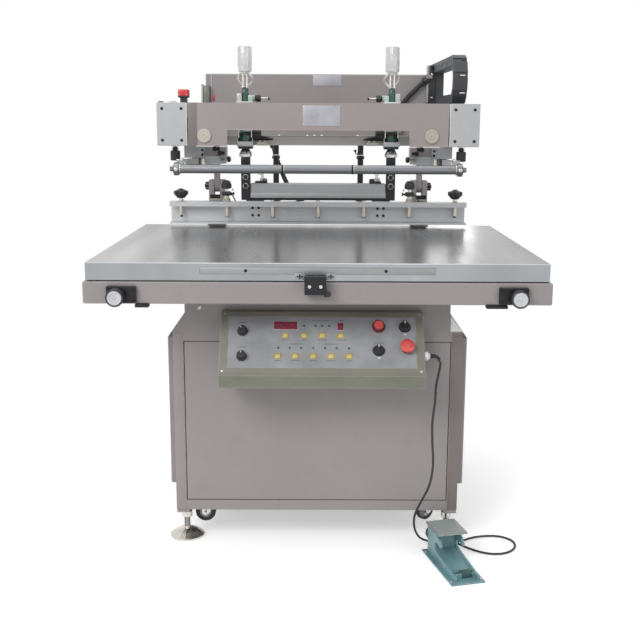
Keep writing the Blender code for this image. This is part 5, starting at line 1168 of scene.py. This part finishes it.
for side, word in SIDES:
    x = side * 311
    stack = Form()
    spot = at(x, CLAMP_Y, 0)
    stack.use(CREAM).turned([(5.3, 919), (13, 919), (13.4, 921), (11.8, 930), (5.3, 930)], spot, 28)
    stack.use(PALE_PLATE).turned([(4, 929), (9.4, 929), (8.6, 940), (4, 940)], spot, 24)
    stack.use(BLACK).turned(
        [(0, 938.5), (12, 938.5), (16.8, 941), (17.2, 948), (13, 953), (0, 953.5)],
        spot @ Matrix.Rotation(0.35, 4, "Z"), 72, 6, 0.09,
    )
    stack.use(NICKEL).turned([(0, 952), (6, 952), (6, 964), (0, 964)], spot, 20)
    stack.use(BLACK).turned(
        [(0, 962), (11, 962), (16, 965), (16.5, 976), (12, 987), (6, 990.5), (0, 991)],
        spot @ Matrix.Rotation(0.9, 4, "Z"), 72, 5, 0.11,
    )
    arm = [(x + 13, 362, 944), (x + 20, 358, 940), (x + 27, 352, 929), (x + 31, 349, 921.5)]
    stack.use(BLACK_STEEL).sweep(smooth_route(arm, 5), 2.2, 10)
    stack.use(NICKEL).hexagon(5.8, 4, at(x - side * 19, CLAMP_Y, 960, (-side, 0, 0)))
    stack.use(BLACK).turned(
        [(0, 0), (3, 0), (3, 6), (6.2, 7.2), (6.2, 11), (0, 11.6)],
        at(x - side * 15, CLAMP_Y, 945.5, (-side, 0, 0)), 24,
    )
    stack.done("frame_screw_" + word, "head", "black_plastic")

rods = Form()
for side in (-1, 1):
    spot = at(side * 145, 426, 0)
    rods.use(BLACK_STEEL).ring(10.2, 15, 14, spot @ at(0, 0, 912.5), 32, 1.4)
    rods.use(BLACK_STEEL).ring(10.2, 13.6, 10, spot @ at(0, 0, 1061), 6, 0.8)
    rods.use(NICKEL).ring(10.1, 11.9, 3, spot @ at(0, 0, 1073), 28, 0.6)
    rods.use(BLACK_STEEL).ring(10.2, 14.2, 12, spot @ at(0, 0, 1106.5), 32, 1.4)
rods.use(NICKEL).hexagon(6.2, 6, at(135, 426, 1080, LEFT))
rods.use(BLACK_STEEL).turned(
    [(0, 0), (3.6, 0), (3.6, 8), (5, 9), (5, 13), (0, 13.6)],
    at(130, 426, 1080, (-0.4, 0, 1)), 20,
)
rods.done("hanger_collars", "head", "black_steel")


# Print head: safety bar, its struts and the strut mounts

bits = Form()
for x in (-104, 94.5):
    bits.use(BLACK_STEEL).ring(12.4, 13.3, 5, at(x, BAR_Y, BAR_Z, RIGHT), 40, 0.3)
    bits.use(NICKEL).ring(12.4, 13.1, 1.6, at(x + 6, BAR_Y, BAR_Z, RIGHT), 40, 0.3)
for side in (-1, 1):
    end = (side, 0, 0)
    bits.use(NICKEL).ring(12.4, 15.2, 3.5, at(side * 390.5, BAR_Y, BAR_Z, end), 40, 0.8)
    bits.use(BLACK_STEEL).ring(7, 13, 2.5, at(side * 408.8, BAR_Y, BAR_Z, end), 32, 0.6)
    bits.use(NICKEL).socket_bolt(4.8, 2.2, at(side * 402, -198.3, 1056, FRONT))
bits.done("safety_bar_fittings", "head", "stainless_steel")

front_y, rear_y = -161.2, 169.8
for side, word in SIDES:
    mount = Form()

    def across(y):
        """Where the strut's middle runs at this depth."""
        return side * (396 - 96 * (y - front_y) / (rear_y - front_y))

    low_y, high_y = ((-50, -30), (-80, -45))[side > 0]
    for y1, y2, grow, material in (
        (low_y, high_y, 0.8, BLACK_STEEL),
        (high_y + 2, high_y + 26, 0.4, NICKEL),
        (front_y + 2, front_y + 20, 0.6, NICKEL),
    ):
        points = [
            (across(y1) - 9 - grow, y1), (across(y1) + 9 + grow, y1),
            (across(y2) + 9 + grow, y2), (across(y2) - 9 - grow, y2),
        ]
        mount.use(material).prism(points, 1056 - grow, 1081 + grow, 0.3)
    mount.use(NICKEL).hex_bolt(5.2, 4, at(across(-145), -145, 1081.6))
    mount.use(PAINT).box((side * 288.5, 123.8, 1081.2), (side * 354, 124.9, 1107.5), 0.5)
    for x, z, size in ((324.5, 1103, 5.8), (314, 1103, 4.8), (308, 1090.5, 5.5), (298, 1090.5, 4)):
        mount.use(BLACK_STEEL).hex_bolt(size, 5, at(side * x, 124, z, FRONT))
    mount.use(ALUMINIUM_Z).box((side * 356, 120, 1076.5), (side * 369, 124.9, 1109), 0.8)
    mount.use(BLACK_STEEL).socket_bolt(4, 4, at(side * 362.5, 120, 1099, FRONT))
    mount.use(BLACK_STEEL).socket_bolt(4, 4, at(side * 362.5, 120, 1085, FRONT))
    mount.use(NICKEL).turned([(3, -4), (3, 3), (0, 3)], at(side * 290.5, 150, 1070, (-side, 0, 0)), 16)
    mount.use(BLACK).turned(
        [(0, 2), (6, 2), (8.8, 5), (9.4, 9), (7, 13), (4, 14.5), (0, 14.8)],
        at(side * 290.5, 150, 1070, (-side, 0, 0)), 48, 8, 0.05,
    )
    mount.done("strut_mount_" + word, "head", "aluminium")
rings = Form()
for side in (-1, 1):
    spot = at(side * 416, -100, 0)
    rings.use(NICKEL).ring(7.3, 12.5, 2.2, spot @ at(0, 0, 1116.5), 28, 0.5)
    rings.use(BLACK_STEEL).ring(7.3, 10.5, 3, spot @ at(0, 0, 1108), 6, 0.5)
rings.done("buffer_nuts", "head", "black_rubber")


# Stand: cabinet, hinge posts, casters and feet

plates = Form()
for side in (-1, 1):
    for y1, y2 in ((-349.5, -319.5), (369.5, 399.5)):
        plates.use(PAINT).box((side * 364, y1, 89.5), (side * 400, y2, 97.8), 1)
    plates.use(NICKEL).bolts(4.2, 1.4, side * 418, (-300, 25, 350), (195, 560), (side, 0, 0))
plates.use(PAINT).box((-340, 399.5, 150), (340, 401.5, 600), 0.8)
plates.use(PAINT).box((-400.5, -350.8, 101), (-372.5, -349.8, 618), 0.4)
# Painted shade: the right corner strip is darker than the left one because it faces away from the light
plates.use(SHADE_PAINT).box((372.5, -350.8, 101), (400.5, -349.8, 618), 0.4)
# Painted highlight: a near-white triangle at the right shoulder, where a highlight falls
plates.use(PAINTED_HIGHLIGHT).prism(
    [(367.2, 623.5), (399.5, 623.5), (367.2, 668)], 0, 1.2, 0.2, at(0, -349.8, 0, FRONT)
)
plates.use(NICKEL).bolts(4.2, 1.4, (-325, 0, 325), 401.5, (165, 585), BACK)
plates.done("cabinet_plates", "stand", "warm_grey_paint")

posts = Form()
for side in (-1, 1):
    x = side * 358.5
    # Painted shade: a dark band for the shaded gap across the hinge post
    posts.use(PAINTED_SHADE_DARK).box((x - 17.5, 444.2, 923.5), (x + 17.5, 445.6, 936.5), 0.4)
    posts.use(CREAM).box((x - 17.5, 443.6, 916.5), (x + 17.5, 445.6, 921.5), 0.5)
    # Painted light: pale plates that brighten the hinge posts' feet, which lie in shade under the clamp
    posts.use(PAINTED_LIGHT_GREY).box((x - 27.2, 443.2, 785), (x + 27.2, 445.6, 845), 0.6)
    posts.use(NICKEL).bolts(4.8, 1.6, x, 495, (815, 865), BACK)
    posts.use(BLACK_STEEL).turned(
        [(8, 0), (8, 2), (5, 3.6), (0, 4)],
        at(side * 392.8, 470, 965, (side, 0, 0)), 22,
    )
    posts.use(BLACK_STEEL).hexagon(15.2, 12.6, at(side * 380.2, 470, 965, (side, 0, 0)))
posts.done("hinge_post_plates", "stand", "warm_grey_paint")

for corner in CORNERS:
    low, high = (Vector(point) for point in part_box("caster_wheel_" + corner))
    wheel = nodes["caster_wheel_" + corner].data
    wheel.materials.clear()
    wheel.materials.append(rolling("wheel_" + corner, (low + high) / 2))
    axle = (low + high) / 2 / MM
    low, high = in_mm(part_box("caster_fork_" + corner))
    bolts = Form(NICKEL)
    bolts.hexagon(4.2, 2.2, at(axle.x, low.y, axle.z, FRONT))
    bolts.hexagon(4.2, 2.2, at(axle.x, high.y, axle.z, BACK))
    bolts.done("caster_bolts_" + corner, "swivel_" + corner, "chrome")

for corner in CORNERS:
    low, high = in_mm(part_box("foot_" + corner))
    stem = (low + high) / 2
    thread = Form()
    thread.use(NICKEL).ring(8, 14.2, 1.8, at(stem.x, stem.y, 60), 28, 0.4)
    for step in range(9):
        thread.use(BLACK_STEEL).ring(7.9, 8.6, 1.4, at(stem.x, stem.y, 30 + 3.2 * step), 24, 0.4)
    thread.done("foot_thread_" + corner, "stand", "chrome")


# Pedal

PEDAL_PLACE = at(372, -503, 0) @ turned_by(14.2)


bits = Form()
# Painted shade: dark teal sheets stand in for the shaded opening in the pedal's front
bits.use(PAINTED_SHADE_TEAL).box((-7.5, -84, 15.8), (21.5, -61, 16.4), 0.1, PEDAL_PLACE)
bits.use(PAINTED_SHADE_TEAL).box((-7.5, -84.6, 4.5), (21.5, -83.8, 16), 0.1, PEDAL_PLACE)
gland = PEDAL_PLACE @ at(-15, 102, 50, BACK)
bits.use(BLACK).turned(
    [
        (18.9, 1), (20, 1), (20.4, 3), (20.4, 18.5), (19.6, 20.3),
        (4.8, 20.3), (4.8, 19.5), (18.9, 19.4), (18.9, 1),
    ],
    gland, 44,
)
for side in (-1, 1):
    for y in (-20, 60):
        place = PEDAL_PLACE @ at(side * 35, y, 10, (side, 0, 0))
        bits.use(NICKEL).socket_bolt(3.6, 1.6, place)
    for y in (-95, 95):
        bits.use(NICKEL).hex_bolt(3.6, 3, PEDAL_PLACE @ at(side * 41, y, 4))
    barrel = PEDAL_PLACE @ at(side * 39, 92, 83.8, (side, 0, 0))
    bits.use(NICKEL).disc(3.2, 1.6, barrel, 18)
bits.done("pedal_fittings", "stand", "teal_paint")


# Tapered sleeves with ridges, where the cord leaves its gland and where it meets the pedal

sleeves = Form(RUBBER)
for points in (cord_line[:26], cord_line[:-23:-1]):
    line = in_mm(evenly(points, 0.0012))

    def ridged(run, angle, index):
        """A sleeve's radius: it tapers to the cord's, with a ridge at every fourth point."""
        wave = 0.35 if index % 4 < 2 else -0.15
        return 3.45 + 2.75 * (1 - index / (len(line) - 1)) + wave

    sleeves.sweep(line, ridged, 18)
sleeves.done("cord_sleeves", "stand", "black_rubber")


# Studio light


def panel_light(name, place, aim, power, width, depth, seen=True):
    lamp = bpy.data.lights.new(name, "AREA")
    lamp.shape = "RECTANGLE"
    lamp.size, lamp.size_y = width, depth
    lamp.energy = power
    made = bpy.data.objects.new(name, lamp)
    made.location = place
    made.rotation_euler = (Vector(aim) - Vector(place)).to_track_quat("-Z", "Y").to_euler()
    made.visible_camera = seen
    scene.collection.objects.link(made)


panel_light("key", (-2.4, -3.6, 3.4), (0, 0, 0.8), 112, 2.6, 2.0)
panel_light("fill", (3.2, -3.4, 1.9), (0, 0, 0.7), 16, 2.4, 2.4)
panel_light("top", (0, 0.2, 4.4), (0, 0, 0.8), 50, 3.6, 3.0)
panel_light("behind_left", (-1.7, 3.4, 1.35), (-0.5, 0, 0.83), 0.7, 1.1, 0.7, seen=False)
panel_light("behind_right", (0.84, 3.4, 1.30), (0.36, 0, 0.83), 0.9, 0.34, 0.42, seen=False)

world = bpy.data.worlds.new("studio")
scene.world = world
world.use_nodes = True
sky = Nodes(world.node_tree)
background = sky.tree.nodes["Background"].inputs
background["Color"].default_value = (1, 1, 1, 1)
sky.plug(sky.scaled(sky.watched(), 0.55, 1.0, 0.0, 1.0), background["Strength"])


# A pale floor that fades into the white around it

bm = bmesh.new()
bmesh.ops.create_grid(bm, x_segments=24, y_segments=24, size=2.7)
bmesh.ops.translate(bm, vec=(0, 0.1, -0.0005), verts=bm.verts)
mesh = bpy.data.meshes.new("floor")
bm.to_mesh(mesh)
bm.free()
floor = bpy.data.objects.new("floor", mesh)
scene.collection.objects.link(floor)
ground = Surface("floor_white")
white = ground.mix(ground.scaled(ground.noise(1.2, 2), 0, 1), (0.9, 0.9, 0.9, 1), (0.93, 0.93, 0.93, 1))
ground.finish(white, ground.noise(3, 2), 0.6, 0.8)
ground.plug((1, 1, 1, 1), ground.shader["Emission Color"])
ground.plug(ground.times(ground.watched(), 0.42), ground.shader["Emission Strength"])
reach = ground.add("VectorMath", [(0, ground.place)], operation="LENGTH").outputs["Value"]
ground.plug(ground.scaled(reach, 1.0, 0.0, 1.0, 2.4), ground.shader["Alpha"])
mesh.materials.append(ground.made)
